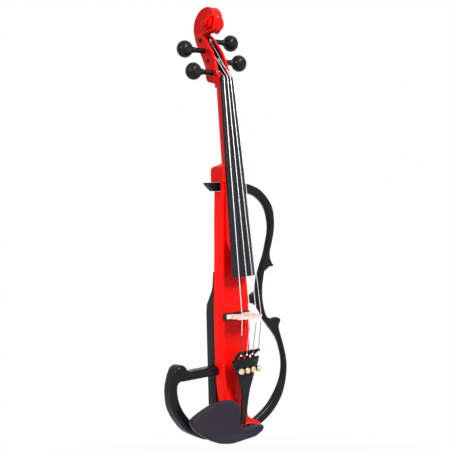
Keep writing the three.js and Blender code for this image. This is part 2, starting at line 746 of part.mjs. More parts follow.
// Left arm: a flat strut from the body's side, a round shoulder and a deep bow back to the foot
const leftOuterShares = [
  [0.959, 0.868], [0.9925, 0.749], [1.003, 0.633], [0.987, 0.478], [0.937, 0.351], [0.861, 0.234], [0.76, 0.115],
  [0.64, 0.036], [0.4785, -0.045], [0.33, -0.05],
];
const leftInnerShares = [
  [0.33, 0.105], [0.45, 0.115], [0.58, 0.165], [0.695, 0.243], [0.744, 0.303], [0.811, 0.392], [0.868, 0.512],
  [0.894, 0.635], [0.891, 0.734], [0.849, 0.778],
];

function makeLeftArm() {
  const top = STRUT_BASE_HEIGHT + STRUT_HEIGHT;
  const shoulderRadius = STRUT_HEIGHT * 0.95;
  const shoulderX = -LEFT_ARM_HALF_WIDTH + shoulderRadius * 1.55;
  const shoulderZ = top - STRUT_HEIGHT * 0.06;
  const shoulder = spread(Math.PI * 0.08, Math.PI * 0.86, 8).map((angle) => [
    shoulderX + shoulderRadius * Math.cos(angle), shoulderZ + shoulderRadius * Math.sin(angle),
  ]);
  const bodySide = -bodyHalfWidth(STRUT_BASE_HEIGHT) + LEFT_ARM_BEVEL;
  const outline = [
    [bodySide, STRUT_BASE_HEIGHT], [bodySide, top], ...shoulder,
    ...smoothed(arc(leftOuterShares, LEFT_ARM_HALF_WIDTH, top + shoulderRadius, -1), 2),
    ...smoothed(arc(leftInnerShares, LEFT_ARM_HALF_WIDTH, top + shoulderRadius, -1), 2),
    [-LEFT_ARM_HALF_WIDTH * 0.8, STRUT_BASE_HEIGHT],
  ];
  const bow = solid(plateGeometry(outline, frameFront, frameFront + LEFT_ARM_DEPTH, LEFT_ARM_BEVEL));
  return cut(bow, makeBodyRelief());
}

addPiece('left_arm', makeLeftArm(), blackLacquer);

// Neck with heel, root, pegbox and carved scroll, all one piece of wood

function neckRing(z, thickness) {
  const front = boardUnderside(z) + SEAT_GAP;
  const half = boardHalfWidth(z) - NECK_SIDE_INSET;
  const back = spread(0, Math.PI, 12).map((angle) => vector(
    half * Math.cos(angle), front + thickness * (0.12 + 0.88 * Math.sin(angle) ** 0.85), z,
  ));
  return [vector(half, front, z), ...back, vector(-half, front, z)];
}

function makeNeckShaft() {
  const top = NUT_HEIGHT_ON_BODY - NUT_LENGTH;
  return loft(spread(heelBase + SEAT_GAP, top, 8).map((z) => neckRing(
    z, THREE.MathUtils.mapLinear(z, heelBase, top, NECK_THICKNESS_AT_HEEL, NECK_THICKNESS_AT_NUT),
  )));
}

// Rounded heel block: rows are share of the height, share of the half width and share of the depth
const heelShares = [
  [0, 1, 1], [0.68, 1, 1], [0.8, 0.99, 0.985], [0.9, 0.97, 0.945], [0.97, 0.93, 0.875], [1, 0.88, 0.8],
];

function makeHeel() {
  return loft(heelShares.map(([heightShare, widthShare, depthShare]) => {
    const z = heelBase + HEEL_HEIGHT * heightShare;
    const front = boardUnderside(z) + SEAT_GAP;
    const back = front + (HEEL_BACK - front) * depthShare;
    return roundedRing(HEEL_HALF_WIDTH * widthShare, front, back, HEEL_EDGE, HEEL_RADIUS, z, 4);
  }));
}

// Foot of the neck: carries the body's front on past the crossbar to the heel
function makeNeckFoot() {
  return loft([crossbarBase, heelBase + CUT_OVERRUN].map((z) => roundedRing(
    HEEL_HALF_WIDTH, -SEAT_GAP, CROSSBAR_SETBACK - SEAT_GAP, HEEL_EDGE * 2, HEEL_EDGE / 2, z,
  )));
}

// Neck root: carries the fingerboard over the body's front and ends in a slope
function makeNeckRoot() {
  const half = boardHalfWidth(ROOT_END_HEIGHT) - ROOT_SIDE_INSET;
  const slopeTop = ROOT_END_HEIGHT + ROOT_SLOPE_HEIGHT;
  const halfTop = boardHalfWidth(heelBase) - NECK_SIDE_INSET;
  const rows = [
    [ROOT_END_HEIGHT, half, boardUnderside(ROOT_END_HEIGHT) + SEAT_GAP + ROOT_END_THICKNESS],
    [slopeTop, THREE.MathUtils.lerp(half, halfTop, 0.45), -SEAT_GAP],
    [heelBase + CUT_OVERRUN, halfTop, -SEAT_GAP],
  ];
  return loft(rows.map(([z, width, back]) => {
    const front = boardUnderside(z) + SEAT_GAP;
    return [vector(width, front, z), vector(width, back, z), vector(-width, back, z), vector(-width, front, z)];
  }));
}

// Pegbox rows: share of the length, then front, back and half width as shares of lean, depth and width
const pegboxBase = NUT_HEIGHT_ON_BODY - PEGBOX_BELOW_NUT;
const pegboxShares = [
  [0, 0, 0.6, 0.95], [0.07, 0, 0.63, 0.96], [0.088, 0, 0.85, 0.97], [0.105, 0, 1.05, 0.98], [0.135, 0, 1.2, 0.99],
  [0.18, 0, 1.23, 1], [0.25, 0.06, 1.15, 1], [0.37, 0.13, 1.06, 0.98], [0.474, 0.2, 1.11, 0.955],
  [0.63, 0.345, 1.16, 0.92], [0.705, 0.45, 1.136, 0.9], [0.82, 0.635, 1.07, 0.87], [0.897, 0.758, 0.986, 0.84],
  [0.974, 0.905, 0.864, 0.72], [1, 0.975, 0.795, 0.6],
];

const nutSeatBack = boardUnderside(NUT_HEIGHT_ON_BODY) + SEAT_GAP;
const nutSeatTop = NUT_HEIGHT_ON_BODY + NUT_LENGTH + SEAT_GAP;

// Under the nut the box reaches forward to its seat, and above it the cheeks stand a little further back
function pegboxSection(share) {
  const [frontShare, depthShare, widthShare] = follow(pegboxShares, share);
  const cheekFront = nutSeatBack + PEGBOX_SETBACK + PEGBOX_LEAN * frontShare;
  const seatShare = (nutSeatTop - pegboxBase) / PEGBOX_LENGTH;
  const front = cheekFront - PEGBOX_SETBACK * (1 - THREE.MathUtils.smoothstep(share, seatShare, seatShare * 1.4));
  return { front, back: cheekFront + PEGBOX_DEPTH * depthShare, half: PEGBOX_HALF_WIDTH * widthShare };
}

const eyeHeight = pegboxBase + PEGBOX_LENGTH + EYE_OVER_PEGBOX;
const eyeBack = pegboxSection(1).front - EYE_BEFORE_PEGBOX;

function makePegboxBlock() {
  return loft(pegboxShares.map(([share]) => {
    const { front, back, half } = pegboxSection(share);
    const z = pegboxBase + PEGBOX_LENGTH * share;
    return roundedRing(half, front, back, PEGBOX_RADIUS / 2, PEGBOX_RADIUS, z, 2);
  }));
}

// The trough between the cheeks, open to the front from the nut to the throat
function makePegboxTrough() {
  const rows = [0.172, 0.34, 0.5, 0.66, 0.8, 0.945];
  return loft(rows.map((share) => {
    const { front, back, half } = pegboxSection(share);
    const z = pegboxBase + PEGBOX_LENGTH * share;
    const inner = half - PEGBOX_WALL * Math.min(1, half / PEGBOX_HALF_WIDTH);
    const open = front - CUT_OVERRUN * 3;
    const floor = back - PEGBOX_FLOOR;
    return [vector(inner, open, z), vector(inner, floor, z), vector(-inner, floor, z), vector(-inner, open, z)];
  }));
}

// Volute: radius and half width against the angle, in quarter turns from the back of the scroll.
// The radius is a share of SCROLL_RADIUS, the half width a share of EYE_HALF_WIDTH.
const voluteShares = [
  [-0.7, 1.01, 0.43], [0, 0.965, 0.375], [0.5, 0.79, 0.385], [0.85, 0.68, 0.395], [1, 0.64, 0.4], [1.5, 0.475, 0.425],
  [2, 0.35, 0.46], [2.5, 0.34, 0.5], [3, 0.365, 0.55], [3.5, 0.375, 0.6], [4, 0.365, 0.64], [5, 0.31, 0.71],
  [6, 0.25, 0.775], [7, 0.21, 0.83], [8, 0.18, 0.88], [9, 0.16, 0.93], [10, 0.14, 0.965], [12, 0.118, 0.985],
  [16, 0.1, 0.985],
];

function voluteAngle(step) {
  return THREE.MathUtils.degToRad(SCROLL_START_ANGLE) + (step / SCROLL_STEPS_PER_TURN) * 2 * Math.PI;
}

function voluteRim(step) {
  return SCROLL_RADIUS * follow(voluteShares, voluteAngle(step) / (Math.PI / 2))[0];
}

function voluteHalfWidth(step) {
  return EYE_HALF_WIDTH * follow(voluteShares, voluteAngle(step) / (Math.PI / 2))[1];
}

function volutePoint(step, radius, x) {
  const angle = voluteAngle(step);
  return vector(x, eyeBack + radius * Math.cos(angle), eyeHeight + radius * Math.sin(angle));
}

// Side of a turn at one step, as radius and half width: rim edge, lip, scoop and the foot of the next turn
function voluteSide(step) {
  const rim = voluteRim(step);
  const half = voluteHalfWidth(step);
  const inwards = (inset) => rim * Math.exp(-inset / rim);
  const scoop = inwards(SCROLL_LIP * 2);
  return [
    [rim, half - SCROLL_LIP / 2], [inwards(SCROLL_LIP), half], [scoop, half - SCROLL_SCOOP],
    [Math.min(voluteRim(step + SCROLL_STEPS_PER_TURN), scoop * 0.9), half - SCROLL_SCOOP / 2],
  ];
}

// The volute is one closed surface. Its turns rise towards the eye, and each turn's last column
// is welded to the next turn's first column.
function makeVolute() {
  const count = SCROLL_STEPS_PER_TURN;
  const positions = [];
  const indices = [];
  const add = (point) => positions.push(point.x, point.y, point.z) / 3 - 1;
  const quad = (p, q, r, s) => [[p, q, r], [p, r, s]].forEach((face) => {
    if (new Set(face).size === 3) {
      indices.push(...face);
    }
  });
  const sides = [1, -1].map((side) => spread(0, SCROLL_TURNS - 1, SCROLL_TURNS - 1).map(
    (turn) => spread(0, count - 1, count - 1).map((step) => voluteSide(step + turn * count).map(
      ([radius, half]) => add(volutePoint(step, radius, side * half)),
    )),
  ));
  const onSide = (side, turn, step, layer) => {
    if (step < count) {
      return sides[side][turn][step][layer];
    }
    return turn + 1 < SCROLL_TURNS ? sides[side][turn + 1][0][layer] : sides[side][turn][0][3];
  };
  const rimShares = [0.55, 0, -0.55];
  const rims = spread(0, count - 1, count - 1).map((step) => rimShares.map((share) => add(volutePoint(
    step, voluteRim(step) - (share ? SCROLL_FLUTE : 0), share * voluteHalfWidth(step),
  ))));
  const seam = add(volutePoint(0, voluteRim(count), 0));
  const lastRim = [sides[0][0][0][3], seam, sides[1][0][0][3]];
  const rimColumn = (step) => [
    onSide(0, 0, step, 0), ...(step < count ? rims[step] : lastRim), onSide(1, 0, step, 0),
  ];
  for (let step = 0; step < count; step += 1) {
    const here = rimColumn(step);
    const next = rimColumn(step + 1);
    for (let k = 0; k < here.length - 1; k += 1) {
      quad(here[k], next[k], next[k + 1], here[k + 1]);
    }
  }
  sides.forEach((_, side) => {
    const hub = add(vector((side ? -1 : 1) * (EYE_HALF_WIDTH - SCROLL_LIP * 2), eyeBack, eyeHeight));
    for (let step = 0; step < count; step += 1) {
      const line = (at) => [
        ...spread(0, SCROLL_TURNS - 1, SCROLL_TURNS - 1).flatMap(
          (turn) => [0, 1, 2, 3].map((layer) => onSide(side, turn, at, layer)),
        ), hub,
      ];
      const here = line(step);
      const next = line(step + 1);
      for (let k = 0; k < here.length - 1; k += 1) {
        if (side) {
          quad(here[k], next[k], next[k + 1], here[k + 1]);
        } else {
          quad(here[k], here[k + 1], next[k + 1], next[k]);
        }
      }
    }
  });
  const start = [
    ...[...sides[0][0][0]].reverse(), ...rims[0], ...sides[1][0][0], seam,
  ];
  const wall = add(volutePoint(0, (voluteRim(0) + voluteRim(count)) / 2, 0));
  start.forEach((index, i) => indices.push(wall, index, start[(i + 1) % start.length]));
  return facingOut(geometryFrom(positions, indices));
}

function makeEye() {
  return turnedGeometry([
    [0, -EYE_HALF_WIDTH], [EYE_RADIUS * 0.7, -EYE_HALF_WIDTH], [EYE_RADIUS, -EYE_HALF_WIDTH + SCROLL_LIP],
    [EYE_RADIUS, EYE_HALF_WIDTH - SCROLL_LIP], [EYE_RADIUS * 0.7, EYE_HALF_WIDTH], [0, EYE_HALF_WIDTH],
  ], vector(1, 0, 0), 16).translate(0, eyeBack, eyeHeight);
}

// The pegs stand back with the box: share of its lean from one peg to the next
const pegLeanShare = 0.2192;

function pegPlace(order) {
  const back = nutSeatBack + PEGBOX_SETBACK + PEG_BEHIND_PEGBOX_FRONT + pegLeanShare * PEGBOX_LEAN * order;
  return vector(0, back, pegboxBase + PEG_OVER_PEGBOX_BASE + PEG_PITCH * order);
}

// Order of the pegs up the box, and the side that each head stands on
const pegRankShares = { g: -0.12, e: 1.02, d: 1.96, a: 3 };
const pegSideShares = { g: -1, e: 1, d: -1, a: 1 };

function makeNeckAndScroll() {
  const carved = unite(
    makeNeckShaft(), makeHeel(), makeNeckFoot(), makeNeckRoot(), makePegboxBlock(), makeVolute(), makeEye(),
  );
  const holes = STRING_NAMES.map((name) => {
    const centre = pegPlace(pegRankShares[name]);
    const across = vector(PEGBOX_HALF_WIDTH + CUT_OVERRUN, 0, 0);
    return rodGeometry(PEG_SHAFT_RADIUS + RUNNING_GAP, centre.clone().sub(across), centre.clone().add(across));
  });
  const nutSeat = boxGeometry(
    [-PEGBOX_HALF_WIDTH * 2, -PEGBOX_LEAN, NUT_HEIGHT_ON_BODY - SEAT_GAP],
    [PEGBOX_HALF_WIDTH * 2, nutSeatBack, nutSeatTop],
  );
  return cut(carved, makePegboxTrough(), nutSeat, ...holes);
}

addPiece('neck_scroll', makeNeckAndScroll(), redLacquer);

// Fingerboard: flat below, arched above, widening towards its free end
function makeFingerboard() {
  return loft(spread(boardEndHeight, NUT_HEIGHT_ON_BODY - SEAT_GAP, 6).map((z) => {
    const half = boardHalfWidth(z);
    const under = boardUnderside(z);
    const top = spread(-half, half, 10).map((x) => vector(
      x, boardTop(z) + archFall(FINGERBOARD_ARCH_RADIUS, x), z,
    ));
    return [...top, vector(half, under, z), vector(-half, under, z)];
  }));
}

addPiece('fingerboard', makeFingerboard(), ebony);

// Nut: a small ebony block that follows the board's arch and stands a little above it
function makeNut() {
  const half = FINGERBOARD_NUT_HALF_WIDTH + NUT_SIDE_OVERHANG;
  const seat = boardUnderside(NUT_HEIGHT_ON_BODY);
  const rows = [[0, 0], [0.75, 0], [1, NUT_OVER_BOARD * 0.8]];
  return loft(rows.map(([lengthShare, drop]) => {
    const z = NUT_HEIGHT_ON_BODY + NUT_LENGTH * lengthShare;
    const top = spread(-half, half, 10).map((x) => vector(
      x, FINGERBOARD_TOP_AT_NUT - NUT_OVER_BOARD + drop + archFall(FINGERBOARD_ARCH_RADIUS, x), z,
    ));
    return [...top, vector(half, seat, z), vector(-half, seat, z)];
  }));
}

addPiece('nut', makeNut(), ebony);

// Pegs: tapered shaft, turned collar and round head with a dish on each face
function makePeg(side) {
  const tip = -(PEGBOX_HALF_WIDTH + PEG_PROUD);
  const collar = PEGBOX_HALF_WIDTH + PEG_COLLAR_LENGTH * 2;
  const headInner = PEG_HEAD_CENTRE - PEG_HEAD_RADIUS * 0.9;
  const stem = turnedGeometry([
    [0, tip], [PEG_TIP_RADIUS * 0.8, tip], [PEG_TIP_RADIUS, tip + PEG_PROUD / 2], [PEG_SHAFT_RADIUS, collar],
    [PEG_SHAFT_RADIUS, headInner - PEG_COLLAR_LENGTH * 2.5], [PEG_COLLAR_RADIUS, headInner - PEG_COLLAR_LENGTH * 2],
    [PEG_COLLAR_RADIUS, headInner - PEG_COLLAR_LENGTH], [PEG_NECK_RADIUS, headInner - PEG_COLLAR_LENGTH / 2],
    [PEG_NECK_RADIUS, PEG_HEAD_CENTRE], [0, PEG_HEAD_CENTRE],
  ], vector(side, 0, 0), 12);
  const head = new THREE.SphereGeometry(1, 12, 8);
  head.scale(PEG_HEAD_RADIUS, PEG_HEAD_THICKNESS / 2, PEG_HEAD_RADIUS);
  head.translate(side * PEG_HEAD_CENTRE, 0, 0);
  const dishes = [-1, 1].map((face) => {
    const dish = new THREE.SphereGeometry(PEG_HEAD_RADIUS, 12, 7);
    dish.translate(side * PEG_HEAD_CENTRE, face * (PEG_HEAD_THICKNESS / 2 + PEG_HEAD_RADIUS - PEG_DISH), 0);
    return dish;
  });
  return cut(unite(stem, head), ...dishes);
}

STRING_NAMES.forEach((name) => {
  addPiece(`peg_${name}`, makePeg(pegSideShares[name]), blackSatin, pegPlace(pegRankShares[name]));
});

// Pickup base under the bridge, and its wire through the body
const pickupFront = -SEAT_GAP - PICKUP_THICKNESS;

function makePickupBase() {
  const half = PICKUP_HALF_WIDTH;
  const low = BRIDGE_HEIGHT_ON_BODY - PICKUP_HEIGHT / 2;
  const high = BRIDGE_HEIGHT_ON_BODY + PICKUP_HEIGHT / 2;
  const corner = (x, z, start) => spread(start, start + Math.PI / 2, 3).map((angle) => [
    x + PICKUP_RADIUS * Math.cos(angle), z + PICKUP_RADIUS * Math.sin(angle),
  ]);
  return plateGeometry([
    ...corner(half - PICKUP_RADIUS, high - PICKUP_RADIUS, 0),
    ...corner(-half + PICKUP_RADIUS, high - PICKUP_RADIUS, Math.PI / 2),
    ...corner(-half + PICKUP_RADIUS, low + PICKUP_RADIUS, Math.PI),
    ...corner(half - PICKUP_RADIUS, low + PICKUP_RADIUS, Math.PI * 1.5),
  ], pickupFront, -SEAT_GAP, 0);
}

addPiece('pickup_base', makePickupBase(), blackSatin);
addPiece('pickup_wire', rodGeometry(
  WIRE_RADIUS, vector(wireX, 0, wireHeight), vector(wireX, BODY_DEPTH + HOUSING_WALL, wireHeight), 8,
), nylon);

// Bridge: two feet, arched legs, waist cuts, a heart opening and an arched crest
const bridgeBase = pickupFront - SEAT_GAP;
// Right half of the outline: across as a share of the foot half width, up as a share of the crest height
const bridgeSideShares = [
  [0.42, 0.0], [1, 0.0], [1, 0.06], [0.86, 0.13], [0.79, 0.22], [0.83, 0.31], [0.94, 0.4], [0.9, 0.45],
  [0.66, 0.47], [0.62, 0.53], [0.7, 0.59], [0.88, 0.6], [0.97, 0.7],
];
const bridgeArchShares = [[0.34, 0.07], [0.26, 0.15], [0.1, 0.19]];
const bridgeHeartShares = [[0, 0.4], [0.13, 0.47], [0.15, 0.55], [0.08, 0.59], [0, 0.56]];

function crestRise(x) {
  return BRIDGE_CREST - archFall(BRIDGE_CREST_RADIUS, x);
}

function mirrored(points) {
  return points.map(([x, up]) => [-x, up]).reverse();
}

function makeBridge() {
  const height = BRIDGE_CREST + bridgeBase;
  const place = ([x, up]) => [x * BRIDGE_FOOT_HALF_WIDTH, up * height];
  const side = [...bridgeArchShares].reverse().concat(bridgeSideShares).map(place);
  const crest = spread(BRIDGE_TOP_HALF_WIDTH, -BRIDGE_TOP_HALF_WIDTH, 12).map((x) => [x, crestRise(x) + bridgeBase]);
  const outline = [...side, ...crest, ...mirrored(side)];
  const shape = new THREE.Shape(outline.map(([x, up]) => new THREE.Vector2(x, up)));
  const heart = bridgeHeartShares.map(place);
  shape.holes.push(new THREE.Path([...heart, ...mirrored(heart.slice(1, -1))].map(([x, up]) => new THREE.Vector2(x, up))));
  const plank = new THREE.ExtrudeGeometry(shape, { depth: BRIDGE_FOOT_THICKNESS, bevelEnabled: false });
  // Stand the plank on its feet, then thin it towards the crest
  const position = plank.getAttribute('position');
  for (let i = 0; i < position.count; i += 1) {
    const up = position.getY(i);
    const share = up / height;
    const thickness = THREE.MathUtils.lerp(BRIDGE_FOOT_THICKNESS, BRIDGE_TOP_THICKNESS, share);
    const across = (position.getZ(i) / BRIDGE_FOOT_THICKNESS - 0.5) * thickness;
    position.setXYZ(i, position.getX(i), bridgeBase - up, BRIDGE_HEIGHT_ON_BODY + across);
  }
  return facingOut(plank);
}

addPiece('bridge', makeBridge(), maple);

// Strings: a straight run from the fork over the bridge and the nut, then the winding on the peg
function stringSide(name) {
  return STRING_NAMES.indexOf(name) - (STRING_NAMES.length - 1) / 2;
}

function stringAtBridge(name) {
  const x = stringSide(name) * STRING_SPACING_AT_BRIDGE;
  return vector(x, -crestRise(x) - STRING_RADII[name] - SEAT_GAP, BRIDGE_HEIGHT_ON_BODY);
}

function stringAtNut(name) {
  const x = stringSide(name) * STRING_SPACING_AT_NUT;
  const top = FINGERBOARD_TOP_AT_NUT - NUT_OVER_BOARD + archFall(FINGERBOARD_ARCH_RADIUS, x);
  return vector(x, top - STRING_RADII[name] - SEAT_GAP, NUT_HEIGHT_ON_BODY + NUT_LENGTH + SEAT_GAP);
}

function stringEnd(name) {
  return vector(
    stringSide(name) * STRING_SPACING_AT_TAILPIECE, -TAILPIECE_TOP_FRONT - STRING_END_PROUD,
    tailpieceTop + STRING_END_OVER_TOP,
  );
}

// The winding starts where the string touches the shaft and runs outwards on the head's own side
function windingPoints(name) {
  const centre = pegPlace(pegRankShares[name]);
  const side = pegSideShares[name];
  const radius = PEG_SHAFT_RADIUS + STRING_RADII[name] + WINDING_CLEARANCE;
  const from = stringAtNut(name);
  const dy = centre.y - from.y;
  const dz = centre.z - from.z;
  const turn = Math.atan2(dz, dy) + Math.asin(radius / Math.hypot(dy, dz)) + Math.PI / 2;
  return spread(0, WINDING_TURNS, WINDING_TURNS * WINDING_STEPS).map((share) => vector(
    side * (WINDING_STARTS[name] + share * WINDING_PITCH),
    centre.y + radius * Math.cos(turn - share * 2 * Math.PI),
    centre.z + radius * Math.sin(turn - share * 2 * Math.PI),
  ));
}

// A tube whose rings follow its points, and swell to a ball on its first end
function makeString(name) {
  const thin = STRING_RADII[name];
  const end = stringEnd(name);
  const way = stringAtBridge(name).sub(end).normalize();
  const ball = spread(-BALL_CAP_ANGLE, BALL_CAP_ANGLE, 5).map(THREE.MathUtils.degToRad).map((angle) => [
    end.clone().addScaledVector(way, BALL_RADIUS * Math.sin(angle)), BALL_RADIUS * Math.cos(angle),
  ]);
  const line = [end.clone().addScaledVector(way, BALL_RADIUS), stringAtBridge(name), stringAtNut(name)];
  const points = [...ball, ...[...line, ...windingPoints(name)].map((point) => [point, thin])];
  return loft(points.map(([point, radius], i) => {
    const into = point.clone().sub(points[Math.max(i - 1, 0)][0]).normalize();
    const out = points[Math.min(i + 1, points.length - 1)][0].clone().sub(point).normalize();
    const along = into.add(out).normalize();
    const across = vector(1, 0, 0).addScaledVector(along, -along.x).normalize();
    const up = along.clone().cross(across);
    return spread(0, 2 * Math.PI, STRING_SIDES).slice(0, STRING_SIDES).map((angle) => point.clone()
      .addScaledVector(across, radius * Math.cos(angle))
      .addScaledVector(up, radius * Math.sin(angle)));
  }));
}

// The least gap that a winding leaves to itself, measured between points on neighbouring turns
function leastWindingGap(name) {
  const points = windingPoints(name);
  let least = Infinity;
  points.forEach((point, i) => {
    points.slice(i + WINDING_STEPS / 2).forEach((other) => {
      least = Math.min(least, point.distanceTo(other) - 2 * STRING_RADII[name]);
    });
  });
  return least;
}

STRING_NAMES.forEach((name) => {
  addPiece(`string_${name}`, makeString(name), steel);
  console.log(`string_${name}: least gap inside the winding ${leastWindingGap(name).toFixed(3)} mm`);
});

// Tailpiece: arched plate that tapers to the gut, with a ridge, ears for the axle and four screw holes
const tailpieceWidthShares = [
  [0, 1], [0.08, 0.97], [0.19, 0.79], [0.26, 0.62], [0.35, 0.51], [0.45, 0.37], [0.58, 0.285], [0.7, 0.25],
  [0.85, 0.215], [1, 0.205],
];

function tailpieceFront(z) {
  return -THREE.MathUtils.lerp(
    TAILPIECE_TOP_FRONT, TAILPIECE_END_FRONT, (tailpieceTop - z) / TAILPIECE_LENGTH,
  );
}

function tailpieceRing(z, half, rise, thickness, edge) {
  const across = spread(-1, 1, 6);
  const front = across.map((share) => {
    const x = share * half;
    return vector(x, tailpieceFront(z) - rise + archFall(TAILPIECE_ARCH_RADIUS, x), z);
  });
  const back = across.reverse().map((share) => {
    const x = share * half;
    const depth = THREE.MathUtils.lerp(thickness, edge, Math.abs(share) ** 3);
    return vector(x, tailpieceFront(z) + depth + archFall(TAILPIECE_ARCH_RADIUS, x), z);
  });
  return [...front, ...back];
}

function makeTailpiece() {
  const plate = loft(spread(0, 1, 13).map((share) => tailpieceRing(
    tailpieceTop - share * TAILPIECE_LENGTH,
    TAILPIECE_HALF_WIDTH * follow(tailpieceWidthShares, share)[0], 0, TAILPIECE_THICKNESS, TAILPIECE_EDGE,
  )));
  const ridgeBase = tailpieceTop - TAILPIECE_RIDGE_LENGTH * 1.6;
  const ridgeHalf = TAILPIECE_HALF_WIDTH * 0.94;
  const ridge = loft([
    tailpieceRing(ridgeBase, ridgeHalf, TAILPIECE_RIDGE * 0.2, TAILPIECE_EDGE, TAILPIECE_EDGE),
    tailpieceRing(ridgeBase + TAILPIECE_RIDGE_LENGTH * 0.35, ridgeHalf, TAILPIECE_RIDGE, TAILPIECE_EDGE, TAILPIECE_EDGE),
    tailpieceRing(ridgeBase + TAILPIECE_RIDGE_LENGTH, ridgeHalf, TAILPIECE_RIDGE, TAILPIECE_EDGE, TAILPIECE_EDGE),
  ]);
  const ears = [-1, 1].map((side) => {
    const x = side * (TAILPIECE_HALF_WIDTH * 0.9 - EAR_WIDTH / 2);
    const top = tailpieceFront(axleHeight) + TAILPIECE_THICKNESS;
    const ear = profileGeometry([
      [top - TAILPIECE_THICKNESS * 0.25 + archFall(TAILPIECE_ARCH_RADIUS, x), axleHeight - EAR_RADIUS],
      [-axleFront, axleHeight - EAR_RADIUS], [-axleFront + EAR_RADIUS * 0.8, axleHeight - EAR_RADIUS * 0.5],
      [-axleFront + EAR_RADIUS * 0.8, axleHeight + EAR_RADIUS * 0.5], [-axleFront, axleHeight + EAR_RADIUS],
      [top - TAILPIECE_THICKNESS * 0.25 + archFall(TAILPIECE_ARCH_RADIUS, x), axleHeight + EAR_RADIUS],
    ], x - EAR_WIDTH / 2, x + EAR_WIDTH / 2);
    return ear;
  });
  const axleHole = rodGeometry(
    AXLE_RADIUS + RUNNING_GAP, vector(-TAILPIECE_HALF_WIDTH * 2, -axleFront, axleHeight),
    vector(TAILPIECE_HALF_WIDTH * 2, -axleFront, axleHeight),
  );
  const screwHoles = STRING_NAMES.map((name) => {
    const x = stringEnd(name).x;
    return rodGeometry(
      SCREW_SHAFT_RADIUS + RUNNING_GAP, vector(x, -TAILPIECE_TOP_FRONT * 2, screwHeight), vector(x, 0, screwHeight), 14,
    );
  });
  const gutHoles = [-1, 1].map((side) => rodGeometry(
    TAILGUT_RADIUS + SEAT_GAP, vector(side * TAILGUT_HALF_SPREAD, gutBack, tailpieceEnd - CUT_OVERRUN),
    vector(side * TAILGUT_HALF_SPREAD, gutBack, tailpieceEnd + TAILGUT_DEPTH_IN_TAILPIECE + SEAT_GAP), 12,
  ));
  return cut(unite(plate, ridge, ...ears), axleHole, ...screwHoles, ...gutHoles);
}

const gutBack = -TAILPIECE_END_FRONT + TAILPIECE_THICKNESS / 2 - 0.1 * TAILPIECE_THICKNESS;

addPiece('tailpiece', makeTailpiece(), blackSatin);

const axleHalf = TAILPIECE_HALF_WIDTH * 0.9;
addPiece('tuner_axle', rodGeometry(
  AXLE_RADIUS, vector(-axleHalf, -axleFront, axleHeight), vector(axleHalf, -axleFront, axleHeight), 14,
), nickel);

// Tuner lever: a boss on the axle, an arm under the screw and a forked hook that holds the string.
// The hook's outline is in shares of the fork's reach, from the axle.
const hookShares = [
  [0.1, 0], [0.115, 0.58], [-0.66, 1.22], [-1, 1.25], [-1, 1], [-0.73, 0.96], [-0.1, 0.42], [-0.1, 0],
];

function makeLever(name) {
  const { x } = stringEnd(name);
  const left = x - LEVER_WIDTH / 2;
  const right = x + LEVER_WIDTH / 2;
  const half = LEVER_THICKNESS / 2;
  const arm = profileGeometry([
    [-axleFront - half, axleHeight - LEVER_REACH], [-axleFront + half, axleHeight - LEVER_REACH],
    [-axleFront + half, axleHeight], [-axleFront - half, axleHeight],
  ], left, right);
  const hook = profileGeometry(hookShares.map(
    ([y, z]) => [-axleFront + y * FORK_REACH, axleHeight + z * FORK_REACH],
  ), left, right);
  const boss = rodGeometry(
    LEVER_BOSS_RADIUS, vector(left, -axleFront, axleHeight), vector(right, -axleFront, axleHeight), 12,
  );
  const bore = rodGeometry(
    AXLE_RADIUS + RUNNING_GAP, vector(left - CUT_OVERRUN, -axleFront, axleHeight),
    vector(right + CUT_OVERRUN, -axleFront, axleHeight), 10,
  );
  const forkFront = -axleFront - FORK_REACH;
  const slot = boxGeometry(
    [x - FORK_SLOT / 2, forkFront - CUT_OVERRUN, axleHeight + FORK_REACH * 0.8],
    [x + FORK_SLOT / 2, forkFront + FORK_SLOT_DEPTH, axleHeight + FORK_REACH * 1.5],
  );
  return cut(unite(arm, hook, boss), bore, slot);
}

// Thumb screw: knurled head, collar and shaft down to the lever's arm
function makeTunerScrew() {
  const tip = -axleFront - LEVER_THICKNESS / 2 - SEAT_GAP;
  const under = tailpieceFront(screwHeight) - SCREW_STANDOFF;
  const top = under - SCREW_HEAD_LENGTH;
  const bevel = SCREW_HEAD_LENGTH * 0.15;
  const screw = turnedGeometry([
    [0, top], [SCREW_HEAD_RADIUS - bevel, top], [SCREW_HEAD_RADIUS, top + bevel], [SCREW_HEAD_RADIUS, under - bevel],
    [SCREW_HEAD_RADIUS - bevel, under], [SCREW_SHAFT_RADIUS * 1.5, under],
    [SCREW_SHAFT_RADIUS * 1.5, under + SCREW_STANDOFF * 0.4], [SCREW_SHAFT_RADIUS, under + SCREW_STANDOFF * 0.4],
    [SCREW_SHAFT_RADIUS, tip - bevel], [SCREW_SHAFT_RADIUS * 0.6, tip], [0, tip],
  ], vector(0, 1, 0), 12);
  const grooves = spread(0, 2 * Math.PI, SCREW_KNURLS).slice(0, SCREW_KNURLS).map((angle) => {
    const x = (SCREW_HEAD_RADIUS + SCREW_KNURL_DEPTH) * Math.cos(angle);
    const z = (SCREW_HEAD_RADIUS + SCREW_KNURL_DEPTH) * Math.sin(angle);
    return rodGeometry(2 * SCREW_KNURL_DEPTH, vector(x, top - CUT_OVERRUN, z), vector(x, under + bevel, z), 4);
  });
  return cut(solid(screw), ...grooves);
}

STRING_NAMES.forEach((name) => {
  addPiece(`tuner_lever_${name}`, makeLever(name), nickel);
  addPiece(`tuner_screw_${name}`, makeTunerScrew(), gold, vector(stringEnd(name).x, 0, screwHeight));
});

// Saddle on the body's lower edge, and the gut that runs over it round the end button
const saddleFront = -SEAT_GAP - SADDLE_RISE;

